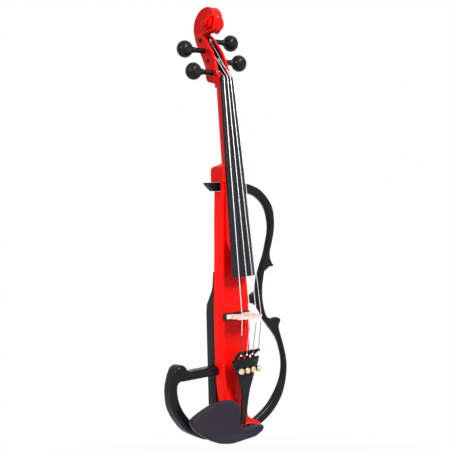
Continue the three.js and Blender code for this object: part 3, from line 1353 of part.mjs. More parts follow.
function makeSaddle() {
  return profileGeometry([
    [-SEAT_GAP, 0], [-SEAT_GAP, SADDLE_LENGTH], [saddleFront * 0.7, SADDLE_LENGTH], [saddleFront, SADDLE_LENGTH * 0.75],
    [saddleFront, SADDLE_LENGTH * 0.3], [saddleFront * 0.6, 0],
  ], -SADDLE_HALF_WIDTH, SADDLE_HALF_WIDTH);
}

addPiece('saddle', makeSaddle(), ebony);

function makeTailgut() {
  const spreadX = TAILGUT_HALF_SPREAD;
  const overSaddle = saddleFront - TAILGUT_RADIUS - SEAT_GAP;
  const loopRadius = BUTTON_NECK_RADIUS + TAILGUT_RADIUS + SEAT_GAP;
  const loopHeight = -BUTTON_NECK_LENGTH / 2 - SEAT_GAP;
  const run = [
    vector(spreadX, gutBack, tailpieceEnd + TAILGUT_DEPTH_IN_TAILPIECE), vector(spreadX, gutBack, tailpieceEnd),
    vector(spreadX, (gutBack + overSaddle) / 2, tailpieceEnd * 0.58),
    vector(spreadX, overSaddle, SADDLE_LENGTH * 0.6), vector(spreadX, overSaddle * 0.93, 0),
    vector((spreadX + loopRadius) / 2, overSaddle * 0.35, loopHeight * 0.9),
    vector(loopRadius * 0.93, BUTTON_BACK - loopRadius, loopHeight),
  ];
  const loop = spread(0, Math.PI, 6).map((angle) => vector(
    loopRadius * Math.cos(angle), BUTTON_BACK + loopRadius * Math.sin(angle), loopHeight,
  ));
  const back = run.map((p) => vector(-p.x, p.y, p.z)).reverse();
  return tubeGeometry([...run, ...loop, ...back], TAILGUT_RADIUS, 6, 38);
}

addPiece('tailgut', makeTailgut(), nylon);

addPiece('end_button', turnedGeometry([
  [0, -BUTTON_LENGTH], [BUTTON_HEAD_RADIUS * 0.7, -BUTTON_LENGTH], [BUTTON_HEAD_RADIUS, -BUTTON_LENGTH * 0.85],
  [BUTTON_HEAD_RADIUS, -BUTTON_LENGTH * 0.55], [BUTTON_NECK_RADIUS, -BUTTON_NECK_LENGTH],
  [BUTTON_NECK_RADIUS, -SEAT_GAP * 2], [BUTTON_SHANK_RADIUS, -SEAT_GAP], [BUTTON_SHANK_RADIUS * 0.9, BUTTON_SHANK_LENGTH],
  [0, BUTTON_SHANK_LENGTH],
], vector(0, 0, 1), 16), blackSatin, vector(0, BUTTON_BACK, 0));

// Chinrest: kidney plate with a bowl, standing on two pads of cork over the body's lower end.
// The outline is in shares of its width from the centre line and of its height from the body's end.
const chinrestShares = [
  [-0.742, 0.525], [-0.676, 0.642], [-0.504, 0.783], [-0.383, 0.828], [-0.25, 0.837], [-0.162, 0.792],
  [-0.102, 0.683], [-0.075, 0.525], [-0.07, 0.23], [-0.043, 0.145], [0.1, 0.118], [0.222, 0.108], [0.222, -0.01],
  [0.152, -0.087], [0.1, -0.12], [-0.04, -0.137], [-0.193, -0.158], [-0.309, -0.125], [-0.395, -0.073],
  [-0.514, 0.05], [-0.614, 0.192], [-0.695, 0.325],
];
const chinrestBack = -CHINREST_FRONT + CHINREST_THICKNESS;
const padFront = -2 * SEAT_GAP - CORK_THICKNESS;

function chinrestOutline() {
  const points = chinrestShares.map(([x, z]) => new THREE.Vector2(x * CHINREST_WIDTH, z * CHINREST_HEIGHT));
  const closed = new THREE.SplineCurve([...points.slice(-2), ...points, ...points.slice(0, 3)]);
  const samples = closed.getPoints((points.length + 4) * 2);
  return samples.slice(4, 4 + points.length * 2).map((p) => [p.x, p.y]);
}

function makeChinrestPlate() {
  const plate = plateGeometry(chinrestOutline(), -CHINREST_FRONT, chinrestBack, CHINREST_BEVEL);
  const pads = [-1, 1].map((side) => boxGeometry(
    [side * CHINREST_PAD_CENTRE - CHINREST_PAD_WIDTH / 2, chinrestBack - CHINREST_BEVEL * 1.5, SEAT_GAP],
    [side * CHINREST_PAD_CENTRE + CHINREST_PAD_WIDTH / 2, padFront, CHINREST_PAD_HEIGHT],
  ));
  const bowl = new THREE.SphereGeometry(1, 32, 20);
  bowl.scale(BOWL_HALF_LENGTH * 1.25, BOWL_ROUNDNESS, BOWL_HALF_HEIGHT * 1.25);
  bowl.rotateY(THREE.MathUtils.degToRad(BOWL_TILT));
  bowl.translate(
    -CHINREST_WIDTH * 0.33, -CHINREST_FRONT - BOWL_ROUNDNESS + BOWL_DEPTH, CHINREST_HEIGHT * 0.36,
  );
  return cut(unite(plate, ...pads), bowl);
}

addPiece('chinrest_plate', makeChinrestPlate(), blackSatin);

[-1, 1].forEach((side) => {
  addPiece(side < 0 ? 'chinrest_cork_left' : 'chinrest_cork_right', boxGeometry(
    [side * CHINREST_PAD_CENTRE - CHINREST_PAD_WIDTH / 2, -SEAT_GAP - CORK_THICKNESS, SEAT_GAP],
    [side * CHINREST_PAD_CENTRE + CHINREST_PAD_WIDTH / 2, -SEAT_GAP, CHINREST_PAD_HEIGHT],
  ), cork);
});

const corkBack = BODY_DEPTH + SEAT_GAP + CORK_THICKNESS;
const clampPlateFront = corkBack + SEAT_GAP;
const clampPlateBack = clampPlateFront + CLAMP_PLATE;
const rodGapStart = BARREL_FRONT + CLAMP_ROD_IN_BARREL;
const rodGapEnd = BARREL_FRONT + BARREL_LENGTH - CLAMP_ROD_IN_BARREL;

addPiece('chinrest_cork_rear', boxGeometry(
  [-CLAMP_HALF_WIDTH, BODY_DEPTH + SEAT_GAP, SEAT_GAP], [CLAMP_HALF_WIDTH, corkBack, CLAMP_RISE],
), cork);

// A strip across both rods, with the rods standing on it
function makeClampStrip(front, back, low, high, rodFrom, rodTo) {
  const strip = plateGeometry([
    [-CLAMP_HALF_WIDTH, low], [CLAMP_HALF_WIDTH, low], [CLAMP_HALF_WIDTH, high], [-CLAMP_HALF_WIDTH, high],
  ], front, back, CLAMP_PLATE / 5);
  const rods = [-1, 1].map((side) => rodGeometry(
    CLAMP_ROD_RADIUS, vector(side * CLAMP_HALF_SPACING, rodFrom, -CLAMP_DROP),
    vector(side * CLAMP_HALF_SPACING, rodTo, -CLAMP_DROP),
  ));
  return unite(strip, ...rods);
}

const stripFront = chinrestBack + SEAT_GAP;
addPiece('chinrest_foot', makeClampStrip(
  stripFront, stripFront + CLAMP_PLATE, -CLAMP_DROP - BARREL_RADIUS, -CLAMP_DROP + BARREL_RADIUS,
  stripFront + CLAMP_PLATE / 2, rodGapStart,
), nickel);
addPiece('chinrest_bracket', makeClampStrip(
  clampPlateFront, clampPlateBack, -CLAMP_DROP - BARREL_RADIUS, CLAMP_RISE, rodGapEnd, clampPlateBack - CLAMP_PLATE / 2,
), nickel);

function makeBarrel() {
  const back = BARREL_LENGTH;
  const bevel = BARREL_RADIUS * 0.2;
  const sleeve = turnedGeometry([
    [0, 0], [BARREL_RADIUS - bevel, 0], [BARREL_RADIUS, bevel], [BARREL_RADIUS, back - bevel],
    [BARREL_RADIUS - bevel, back], [0, back],
  ], vector(0, 1, 0), 16);
  const bore = rodGeometry(
    CLAMP_ROD_RADIUS + RUNNING_GAP, vector(0, -CUT_OVERRUN, 0), vector(0, back + CUT_OVERRUN, 0), 12,
  );
  const keyHole = rodGeometry(
    BARREL_KEY_RADIUS, vector(-2 * BARREL_RADIUS, back / 2, 0), vector(2 * BARREL_RADIUS, back / 2, 0), 8,
  );
  return cut(solid(sleeve), bore, keyHole);
}

[-1, 1].forEach((side) => {
  addPiece(
    side < 0 ? 'chinrest_barrel_left' : 'chinrest_barrel_right', makeBarrel(), nickel,
    vector(side * CLAMP_HALF_SPACING, BARREL_FRONT, -CLAMP_DROP),
  );
});

// Rear housing: a tub over the electronics that tapers to nothing up the body's back
const housingFront = BODY_DEPTH + SEAT_GAP;
const cavityBack = HOUSING_BACK - HOUSING_BACK_WALL;
const sideInner = HOUSING_HALF_WIDTH - HOUSING_WALL;
// Back profile: share of the depth behind the body and share of the height
const housingShares = [
  [0.84, 0], [1, 0.075], [1, 0.71], [0.93, 0.775], [0.8, 0.795], [0.3, 0.873], [0.17, 0.91], [0.07, 1],
];

function housingPoint([depthShare, heightShare]) {
  return [
    housingFront + (HOUSING_BACK - housingFront) * depthShare,
    HOUSING_BOTTOM + (HOUSING_TOP - HOUSING_BOTTOM) * heightShare,
  ];
}

function sideHole(radius, z) {
  return rodGeometry(
    radius, vector(sideInner - CUT_OVERRUN, CONTROL_LINE_BACK, z),
    vector(HOUSING_HALF_WIDTH + CUT_OVERRUN, CONTROL_LINE_BACK, z),
  );
}

function makeScrewSink([x, z], index) {
  const headBack = screwHeadBack(index);
  return [
    rodGeometry(
      HOUSING_SCREW_RADIUS + SEAT_GAP, vector(x, 0, z), vector(x, headBack, z), 12,
    ),
    rodGeometry(
      HOUSING_SCREW_HEAD_RADIUS + SEAT_GAP, vector(x, headBack - HOUSING_SCREW_HEAD - SEAT_GAP, z),
      vector(x, HOUSING_BACK + CUT_OVERRUN, z), 16,
    ),
  ];
}

// The screws' heads lie sunk in the floor of the housing or in its taper
function screwHeadBack(index) {
  const upper = index > 1;
  const depth = HOUSING_BACK - housingFront;
  return housingFront + (upper ? depth * 0.15 : depth * 0.78);
}

function makeHousing() {
  const front = housingFront - 2 * HOUSING_BEVEL;
  const shell = profileGeometry([
    [front, HOUSING_BOTTOM], ...housingShares.map(housingPoint), [front, HOUSING_TOP],
  ], -HOUSING_HALF_WIDTH, HOUSING_HALF_WIDTH, HOUSING_BEVEL);
  const trim = boxGeometry(
    [-2 * HOUSING_HALF_WIDTH, 0, -HOUSING_TOP], [2 * HOUSING_HALF_WIDTH, housingFront, 2 * HOUSING_TOP],
  );
  const cavity = boxGeometry(
    [-sideInner, 0, HOUSING_BOTTOM + HOUSING_FLOOR], [sideInner, cavityBack, HOUSING_CAVITY_TOP],
  );
  const doorHalf = DOOR_WIDTH / 2 + RUNNING_GAP;
  const doorway = boxGeometry(
    [-doorHalf, housingFront, DOOR_BASE_HEIGHT - RUNNING_GAP],
    [doorHalf, HOUSING_BACK + CUT_OVERRUN, DOOR_BASE_HEIGHT + DOOR_LENGTH + RUNNING_GAP],
  );
  const hingeHeight = DOOR_BASE_HEIGHT + DOOR_BARREL_RADIUS;
  const pinReach = DOOR_WIDTH / 2 + DOOR_PIN_LENGTH + RUNNING_GAP;
  const pinHole = rodGeometry(
    DOOR_PIN_RADIUS + RUNNING_GAP, vector(-pinReach, DOOR_BARREL_BACK, hingeHeight),
    vector(pinReach, DOOR_BARREL_BACK, hingeHeight), 12,
  );
  const slotHalf = SWITCH_LEVER_LENGTH / 2 + RUNNING_GAP;
  const slot = boxGeometry(
    [sideInner - CUT_OVERRUN, CONTROL_LINE_BACK - SWITCH_LEVER_WIDTH / 2 - RUNNING_GAP, SWITCH_HEIGHT - slotHalf],
    [
      HOUSING_HALF_WIDTH + CUT_OVERRUN, CONTROL_LINE_BACK + SWITCH_LEVER_WIDTH / 2 + RUNNING_GAP,
      SWITCH_HEIGHT + SWITCH_TRAVEL + slotHalf,
    ],
  );
  return cut(
    solid(shell), trim, cavity, doorway, pinHole, slot,
    sideHole(POT_SHAFT_RADIUS + SEAT_GAP, VOLUME_HEIGHT), sideHole(POT_SHAFT_RADIUS + SEAT_GAP, TONE_HEIGHT),
    sideHole(PHONES_RADIUS + SEAT_GAP, PHONES_HEIGHT), sideHole(OUTPUT_RADIUS + SEAT_GAP, OUTPUT_HEIGHT),
    ...housingScrewPlaces.flatMap(makeScrewSink),
  );
}

addPiece('rear_housing', makeHousing(), blackLacquer);

housingScrewPlaces.forEach(([x, z], index) => {
  const headBack = screwHeadBack(index);
  const tip = BODY_DEPTH - HOUSING_SCREW_IN_BODY;
  const under = headBack - HOUSING_SCREW_HEAD;
  const screw = turnedGeometry([
    [0, tip], [HOUSING_SCREW_RADIUS, tip + HOUSING_SCREW_RADIUS], [HOUSING_SCREW_RADIUS, under],
    [HOUSING_SCREW_HEAD_RADIUS, under], [HOUSING_SCREW_HEAD_RADIUS, headBack - HOUSING_SCREW_HEAD * 0.3],
    [HOUSING_SCREW_HEAD_RADIUS * 0.75, headBack], [0, headBack],
  ], vector(0, 1, 0), 12);
  addPiece(`housing_screw_${index + 1}`, solid(screw), nickel, vector(x, 0, z));
});

// Battery door: a plate with a hinge barrel and two pins at its lower edge and a grip near the top
function makeDoor() {
  const half = DOOR_WIDTH / 2;
  const outer = DOOR_BARREL_BACK + DOOR_BARREL_RADIUS;
  const hingeHeight = DOOR_BASE_HEIGHT + DOOR_BARREL_RADIUS;
  const plate = boxGeometry([-half, outer - DOOR_PLATE, hingeHeight], [half, outer, DOOR_BASE_HEIGHT + DOOR_LENGTH]);
  const barrel = rodGeometry(
    DOOR_BARREL_RADIUS, vector(-half, DOOR_BARREL_BACK, hingeHeight), vector(half, DOOR_BARREL_BACK, hingeHeight), 16,
  );
  const pinReach = half + DOOR_PIN_LENGTH;
  const pins = rodGeometry(
    DOOR_PIN_RADIUS, vector(-pinReach, DOOR_BARREL_BACK, hingeHeight), vector(pinReach, DOOR_BARREL_BACK, hingeHeight), 12,
  );
  const grip = new THREE.SphereGeometry(DOOR_GRIP_RADIUS, 16, 8);
  grip.translate(0, outer + DOOR_GRIP_RADIUS - DOOR_GRIP_DEPTH, DOOR_BASE_HEIGHT + DOOR_LENGTH * 0.86);
  return cut(unite(plate, barrel, pins), grip);
}

addPiece('battery_door', makeDoor(), blackSatin);

const batteryFront = BODY_DEPTH - BATTERY_POCKET_DEPTH + SEAT_GAP;
const batteryMiddle = batteryFront + BATTERY_DEPTH / 2;
const batteryTop = BATTERY_BASE_HEIGHT + BATTERY_LENGTH;

function makeBattery() {
  const ring = (half, inset, z) => {
    const ringed = roundedRing(half - inset, batteryFront + inset, batteryFront + BATTERY_DEPTH - inset, 1, 1, z, 2);
    return ringed;
  };
  const half = BATTERY_WIDTH / 2;
  const can = loft([
    ring(half, BATTERY_BEVEL / 3, BATTERY_BASE_HEIGHT), ring(half, 0, BATTERY_BASE_HEIGHT + BATTERY_BEVEL / 3),
    ring(half, 0, batteryTop - BATTERY_BEVEL / 3), ring(half, BATTERY_BEVEL / 3, batteryTop),
  ]);
  const terminals = [-1, 1].map((side) => rodGeometry(
    TERMINAL_RADIUS, vector(side * TERMINAL_HALF_SPACING, batteryMiddle, batteryTop - CUT_OVERRUN),
    vector(side * TERMINAL_HALF_SPACING, batteryMiddle, batteryTop + TERMINAL_HEIGHT), 12,
  ));
  return unite(can, ...terminals);
}

addPiece('battery', makeBattery(), batteryGrey);

function makeClip() {
  const half = BATTERY_WIDTH / 2 - BATTERY_BEVEL;
  const deep = BATTERY_DEPTH / 2 - BATTERY_BEVEL;
  const base = batteryTop + SEAT_GAP;
  const plate = boxGeometry([-half, batteryMiddle - deep, base], [half, batteryMiddle + deep, base + CLIP_THICKNESS]);
  const sockets = [-1, 1].map((side) => rodGeometry(
    TERMINAL_RADIUS + SEAT_GAP, vector(side * TERMINAL_HALF_SPACING, batteryMiddle, base - CUT_OVERRUN),
    vector(side * TERMINAL_HALF_SPACING, batteryMiddle, batteryTop + TERMINAL_HEIGHT + SEAT_GAP), 12,
  ));
  const pocket = boxGeometry([-half * 2, 0, 0], [half * 2, BODY_DEPTH + SEAT_GAP, BODY_LENGTH]);
  return cut(solid(plate), pocket, ...sockets);
}

addPiece('battery_clip', makeClip(), blackSatin);

// Circuit board against the body's back, with two chips
function makeBoard() {
  const back = housingFront + BOARD_THICKNESS;
  const board = boxGeometry(
    [-BOARD_WIDTH / 2, housingFront, BOARD_BASE_HEIGHT], [BOARD_WIDTH / 2, back, BOARD_BASE_HEIGHT + BOARD_LENGTH],
  );
  const chips = [0.3, 0.6].map((share) => {
    const z = BOARD_BASE_HEIGHT + BOARD_LENGTH * share;
    return boxGeometry(
      [-BOARD_WIDTH * 0.35, back - BOARD_THICKNESS / 2, z], [CHIP_WIDTH - BOARD_WIDTH * 0.35, back + CHIP_THICKNESS, z + CHIP_LENGTH],
    );
  });
  return unite(board, ...chips);
}

addPiece('circuit_board', makeBoard(), boardGreen);

// Turned pieces that stand across the housing's right side, on the line of the controls
const acrossRight = vector(1, 0, 0);

function makePot() {
  const inner = sideInner - SEAT_GAP;
  const shaftEnd = HOUSING_HALF_WIDTH + POT_SHAFT_LENGTH;
  return turnedGeometry([
    [0, inner - POT_LENGTH], [POT_RADIUS * 0.9, inner - POT_LENGTH], [POT_RADIUS, inner - POT_LENGTH * 0.9],
    [POT_RADIUS, inner], [POT_SHAFT_RADIUS, inner], [POT_SHAFT_RADIUS, shaftEnd], [0, shaftEnd],
  ], acrossRight, 16);
}

function makeKnob() {
  const base = HOUSING_HALF_WIDTH + RUNNING_GAP * 2;
  const top = base + KNOB_LENGTH;
  const bevel = KNOB_RADIUS * 0.12;
  const knob = turnedGeometry([
    [0, base], [KNOB_RADIUS, base], [KNOB_RADIUS * 0.94, top - bevel], [KNOB_RADIUS * 0.94 - bevel, top], [0, top],
  ], acrossRight, 20);
  const ribs = spread(0, 2 * Math.PI, KNOB_RIBS).slice(0, KNOB_RIBS).map((angle) => {
    const y = (KNOB_RADIUS + KNOB_RIB_RADIUS * 0.35) * Math.cos(angle);
    const z = (KNOB_RADIUS + KNOB_RIB_RADIUS * 0.35) * Math.sin(angle);
    return rodGeometry(KNOB_RIB_RADIUS, vector(base + KNOB_LENGTH * 0.2, y, z), vector(top + CUT_OVERRUN, y, z), 5);
  });
  const shaftEnd = HOUSING_HALF_WIDTH + POT_SHAFT_LENGTH + RUNNING_GAP;
  const bore = rodGeometry(
    POT_SHAFT_RADIUS + RUNNING_GAP, vector(0, 0, 0), vector(shaftEnd, 0, 0),
  );
  const pointer = boxGeometry(
    [top - KNOB_POINTER / 2, -KNOB_POINTER / 2, 0], [top + CUT_OVERRUN, KNOB_POINTER / 2, KNOB_RADIUS * 2],
  );
  return cut(solid(knob), bore, pointer, ...ribs);
}

[['volume', VOLUME_HEIGHT], ['tone', TONE_HEIGHT]].forEach(([name, z]) => {
  addPiece(`${name}_pot`, makePot(), nickel, vector(0, CONTROL_LINE_BACK, z));
  addPiece(`${name}_knob`, makeKnob(), blackSatin, vector(0, CONTROL_LINE_BACK, z));
});

// Power switch: a body behind the slot and a lever that slides up to switch on
function makeSwitchBody() {
  const inner = sideInner - SEAT_GAP;
  const low = SWITCH_HEIGHT + SWITCH_TRAVEL / 2 - SWITCH_LENGTH / 2;
  const body = boxGeometry(
    [inner - SWITCH_DEPTH, CONTROL_LINE_BACK - SWITCH_WIDTH / 2, low],
    [inner, CONTROL_LINE_BACK + SWITCH_WIDTH / 2, low + SWITCH_LENGTH],
  );
  const slotHalf = SWITCH_LEVER_LENGTH / 2 + RUNNING_GAP;
  const room = boxGeometry(
    [inner - SWITCH_DEPTH / 2, CONTROL_LINE_BACK - SWITCH_LEVER_WIDTH / 2 - RUNNING_GAP, SWITCH_HEIGHT - slotHalf],
    [
      inner + CUT_OVERRUN, CONTROL_LINE_BACK + SWITCH_LEVER_WIDTH / 2 + RUNNING_GAP,
      SWITCH_HEIGHT + SWITCH_TRAVEL + slotHalf,
    ],
  );
  return cut(solid(body), room);
}

addPiece('power_switch_body', makeSwitchBody(), nickel);
addPiece('power_switch_lever', boxGeometry(
  [
    sideInner - SEAT_GAP - SWITCH_DEPTH / 2 + RUNNING_GAP, CONTROL_LINE_BACK - SWITCH_LEVER_WIDTH / 2,
    SWITCH_HEIGHT - SWITCH_LEVER_LENGTH / 2,
  ],
  [
    HOUSING_HALF_WIDTH + SWITCH_LEVER_REACH, CONTROL_LINE_BACK + SWITCH_LEVER_WIDTH / 2,
    SWITCH_HEIGHT + SWITCH_LEVER_LENGTH / 2,
  ],
), blackSatin);

// Jack socket: a closed sleeve with a flange outside the housing and a plain bore for the plug
function makeJack(radius, flangeRadius, boreRadius, length) {
  const face = HOUSING_HALF_WIDTH + SEAT_GAP + JACK_FLANGE_LENGTH;
  const end = face - length;
  const bevel = JACK_FLANGE_LENGTH * 0.25;
  return turnedGeometry([
    [0, end], [radius, end], [radius, face - JACK_FLANGE_LENGTH], [flangeRadius, face - JACK_FLANGE_LENGTH],
    [flangeRadius, face - bevel], [flangeRadius - bevel, face], [boreRadius, face], [boreRadius, end + JACK_END_WALL],
    [0, end + JACK_END_WALL],
  ], acrossRight, 20);
}

addPiece(
  'headphone_jack', makeJack(PHONES_RADIUS, PHONES_FLANGE_RADIUS, PHONES_BORE_RADIUS, PHONES_LENGTH), nickel,
  vector(0, CONTROL_LINE_BACK, PHONES_HEIGHT),
);
addPiece(
  'output_jack', makeJack(OUTPUT_RADIUS, OUTPUT_FLANGE_RADIUS, OUTPUT_BORE_RADIUS, OUTPUT_LENGTH), nickel,
  vector(0, CONTROL_LINE_BACK, OUTPUT_HEIGHT),
);

const hung = new THREE.Group();
violin.position.set(0, -HANGER_BACK, HANGER_BELOW_EYE - eyeHeight);
hung.add(violin);

export default hung;
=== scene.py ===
# %% [markdown]
# # Dressing an electric violin
#
# The solids of this violin come from a CAD model: a slim red body, black arms that draw the outline of a violin,
# a neck with a carved scroll, and the fittings. They carry the sizes and the joints. This lesson dresses them:
# each visible piece gets its smooth surface, and each surface gets its finish.

# %% Load the frame
import math
import bpy
import bmesh
import numpy as np
from mathutils import Matrix, Vector


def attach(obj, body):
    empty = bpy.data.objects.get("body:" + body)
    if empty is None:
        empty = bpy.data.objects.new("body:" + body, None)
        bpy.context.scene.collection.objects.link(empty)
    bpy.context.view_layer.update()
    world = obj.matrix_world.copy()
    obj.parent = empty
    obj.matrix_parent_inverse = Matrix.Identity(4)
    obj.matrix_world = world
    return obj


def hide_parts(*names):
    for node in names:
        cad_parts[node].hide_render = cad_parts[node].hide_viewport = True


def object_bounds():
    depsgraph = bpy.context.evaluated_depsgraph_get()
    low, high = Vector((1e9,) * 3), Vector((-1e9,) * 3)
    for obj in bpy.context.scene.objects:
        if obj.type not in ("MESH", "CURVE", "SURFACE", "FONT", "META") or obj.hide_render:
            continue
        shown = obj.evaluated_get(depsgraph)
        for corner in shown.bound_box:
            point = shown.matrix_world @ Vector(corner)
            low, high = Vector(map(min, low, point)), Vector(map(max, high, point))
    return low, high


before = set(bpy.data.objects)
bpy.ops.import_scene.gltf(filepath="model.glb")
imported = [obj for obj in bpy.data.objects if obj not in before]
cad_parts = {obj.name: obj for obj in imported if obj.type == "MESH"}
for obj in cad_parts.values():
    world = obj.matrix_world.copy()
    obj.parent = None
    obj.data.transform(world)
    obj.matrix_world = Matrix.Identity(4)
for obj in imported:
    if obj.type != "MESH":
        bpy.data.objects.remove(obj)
cad_box = [list(corner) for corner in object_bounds()]
print("CAD box in metres:", [[round(v, 4) for v in corner] for corner in cad_box])

# %% [markdown]
# Lengths in this lesson are in millimetres, as on a maker's drawing: X to the treble side, Y to the back, Z up the
# neck, with the body's front face at Y = 0 and its lower end at Z = 0. The scene is in metres and its origin is where
# the violin hangs, at the throat of the scroll, so one function moves every point across.

# %% From the drawing to the scene
HANGER = np.array((0.0, 44.0, 551.0))


def to_scene(points):
    """Scene place = (drawing place - hanger) / 1000."""
    return (np.asarray(points, float) - HANGER) / 1000.0


def follow(table, at):
    """Smooth values between the rows of a table: a cubic through the rows, whose slope in a row is the slope of
    the line between its two neighbours."""
    rows = np.asarray(table, float)
    x, y = rows[:, 0], rows[:, 1:]
    at = np.atleast_1d(np.asarray(at, float))
    k = np.clip(np.searchsorted(x, at) - 1, 0, len(x) - 2)
    before, after = np.maximum(k - 1, 0), np.minimum(k + 2, len(x) - 1)
    span = (x[k + 1] - x[k])[:, None]
    t = np.clip((at - x[k])[:, None] / span, 0, 1)
    rise_in = (y[k + 1] - y[before]) / (x[k + 1] - x[before])[:, None] * span
    rise_out = (y[after] - y[k]) / (x[after] - x[k])[:, None] * span
    return (y[k] * (2 * t**3 - 3 * t**2 + 1) + rise_in * (t**3 - 2 * t**2 + t)
            + y[k + 1] * (3 * t**2 - 2 * t**3) + rise_out * (t**3 - t**2))

# %% [markdown]
# Almost every piece below is a closed shell: rings of points that follow one another, like the ribs of a boat, with
# a skin from ring to ring and a lid on both ends. Computing the rings as one array and letting one function sew the
# skin keeps each piece down to its formula. The signed volume tells whether the skin is inside out.

# %% Sew rings into closed shells
def sew(rings, lengths=None, flat_ends=False):
    """A closed shell from an array of rings (rows, around, 3): quads between the rings, and a fan of triangles or
    one flat face on each end. Each point also keeps one number, a length along the piece or a depth inside it, for
    patterns that follow the piece."""
    rows, around = rings.shape[:2]
    points = rings.reshape(-1, 3)
    lengths = np.zeros(rows) if lengths is None else np.asarray(lengths, float)
    along = np.repeat(lengths, around)
    r, i = np.meshgrid(np.arange(rows - 1), np.arange(around), indexing="ij")
    a, b = r * around + i, r * around + (i + 1) % around
    quads = np.stack((a, b, b + around, a + around), -1).reshape(-1, 4)
    edge = np.arange(around)
    last = (rows - 1) * around
    if flat_ends:
        faces = [quads, edge[::-1][None], (last + edge)[None]]
    else:
        hubs = rings[[0, -1]].mean(axis=1)
        points = np.concatenate((points, hubs))
        along = np.concatenate((along, lengths[[0, -1]]))
        hub = rows * around
        first_fan = np.stack((np.full(around, hub), (edge + 1) % around, edge), -1)
        last_fan = np.stack((np.full(around, hub + 1), last + edge, last + (edge + 1) % around), -1)
        faces = [quads, first_fan, last_fan]
    if enclosed(points, faces) < 0:
        faces = [block[:, ::-1] for block in faces]
    return points, faces, along


def enclosed(points, faces):
    """Signed volume: the sum over triangles of a . (b x c) / 6, positive where faces point outwards."""
    total = 0.0
    for block in faces:
        for k in range(1, block.shape[1] - 1):
            a, b, c = points[block[:, 0]], points[block[:, k]], points[block[:, k + 1]]
            total += np.einsum("ij,ij->", a, np.cross(b, c)) / 6
    return total


def piece(name, shells, finish, body="violin", instead=(), crease=38):
    """Joins closed shells into one object at the origin, smooth but for edges sharper than the crease angle."""
    points = np.concatenate([shell[0] for shell in shells])
    along = np.concatenate([shell[2] for shell in shells])
    faces, first = [], 0
    for shell in shells:
        for block in shell[1]:
            faces += (block + first).tolist()
        first += len(shell[0])
    mesh = bpy.data.meshes.new(name)
    mesh.from_pydata(to_scene(points).tolist(), [], faces)
    mesh.attributes.new("along", "FLOAT", "POINT").data.foreach_set("value", along / 1000.0)
    mesh.polygons.foreach_set("use_smooth", [True] * len(mesh.polygons))
    mesh.set_sharp_from_angle(angle=math.radians(crease))
    mesh.materials.append(finish)
    thing = bpy.data.objects.new(name, mesh)
    bpy.context.scene.collection.objects.link(thing)
    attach(thing, body)
    if instead:
        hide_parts(*instead)
    print(f"{name}: {len(mesh.polygons)} faces")
    return thing


def turned(profile, centre, axis, sides=48):
    """A turned piece: rings of radius r at distance h along the axis, r * (cos, sin) in the plane across it. The
    profile's rows are (r, h)."""
    profile = np.asarray(profile, float)
    axis = np.asarray(axis, float) / np.linalg.norm(axis)
    side = np.cross(axis, (0, 0, 1) if abs(axis[2]) < 0.9 else (1, 0, 0))
    side /= np.linalg.norm(side)
    other = np.cross(axis, side)
    angle = np.linspace(0, 2 * np.pi, sides, endpoint=False)
    ring = np.cos(angle)[:, None] * side + np.sin(angle)[:, None] * other
    rings = np.asarray(centre) + profile[:, 0, None, None] * ring + profile[:, 1, None, None] * axis
    return sew(rings, profile[:, 1])


def swept(path, radius, sides):
    """A round tube: in each point of the path a ring of its radius, square to the path. The ring's first direction
    is carried along by removing its part along the path, so that the tube doesn't twist."""
    path = np.asarray(path, float)
    radius = np.broadcast_to(np.asarray(radius, float), len(path))
    step = np.gradient(path, axis=0)
    step /= np.linalg.norm(step, axis=1)[:, None]
    across = np.cross(step, (0.0, 0.0, 1.0) if abs(step[0][2]) < 0.9 else (1.0, 0.0, 0.0))
    for k in range(1, len(path)):
        across[k] = across[k - 1] - step[k] * (across[k - 1] @ step[k])
    across /= np.linalg.norm(across, axis=1)[:, None]
    up = np.cross(step, across)
    angle = np.linspace(0, 2 * np.pi, sides, endpoint=False)
    ring = np.cos(angle)[None, :, None] * across[:, None] + np.sin(angle)[None, :, None] * up[:, None]
    lengths = np.concatenate(([0], np.cumsum(np.linalg.norm(np.diff(path, axis=0), axis=1))))
    return sew(path[:, None] + radius[:, None, None] * ring, lengths)


def rounded(half, front, back, front_radius, back_radius, height, steps=7):
    """One level ring: a rectangle whose four corners are quarter circles. All arguments but the steps may be
    arrays, one value for each ring."""
    half, front, back, front_radius, back_radius, height = np.broadcast_arrays(
        *(np.atleast_1d(np.asarray(v, float)) for v in (half, front, back, front_radius, back_radius, height)))
    quarter = np.linspace(0, np.pi / 2, steps)
    corners = ((half - back_radius, back - back_radius, back_radius, 0.0),
               (-half + back_radius, back - back_radius, back_radius, np.pi / 2),
               (-half + front_radius, front + front_radius, front_radius, np.pi),
               (half - front_radius, front + front_radius, front_radius, 1.5 * np.pi))
    rings = [np.stack((x[:, None] + r[:, None] * np.cos(turn + quarter),
                       y[:, None] + r[:, None] * np.sin(turn + quarter),
                       np.repeat(height[:, None], steps, axis=1)), -1) for x, y, r, turn in corners]
    return np.concatenate(rings, axis=1)


def spline(points, steps):
    """A smooth curve through the points: on each span the Catmull-Rom cubic of the four nearest ones."""
    p = np.asarray(points, float)
    p = np.concatenate((2 * p[:1] - p[1:2], p, 2 * p[-1:] - p[-2:-1]))
    t = np.linspace(0, 1, steps, endpoint=False)[:, None, None]
    a, b, c, d = p[:-3], p[1:-2], p[2:-1], p[3:]
    curve = 0.5 * (2 * b + (c - a) * t + (2 * a - 5 * b + 4 * c - d) * t**2 + (3 * b - a - 3 * c + d) * t**3)
    return np.concatenate((curve.transpose(1, 0, 2).reshape(-1, p.shape[1]), p[-2:-1]))

# %% [markdown]
# Small mechanical parts, such as a bracket or a socket, are already right in the CAD model but for their knife-sharp
# edges. A copy of the CAD mesh is merged, its flat facets are joined again, and a Bevel modifier breaks its edges as
# a file would. The CAD object itself is never touched.

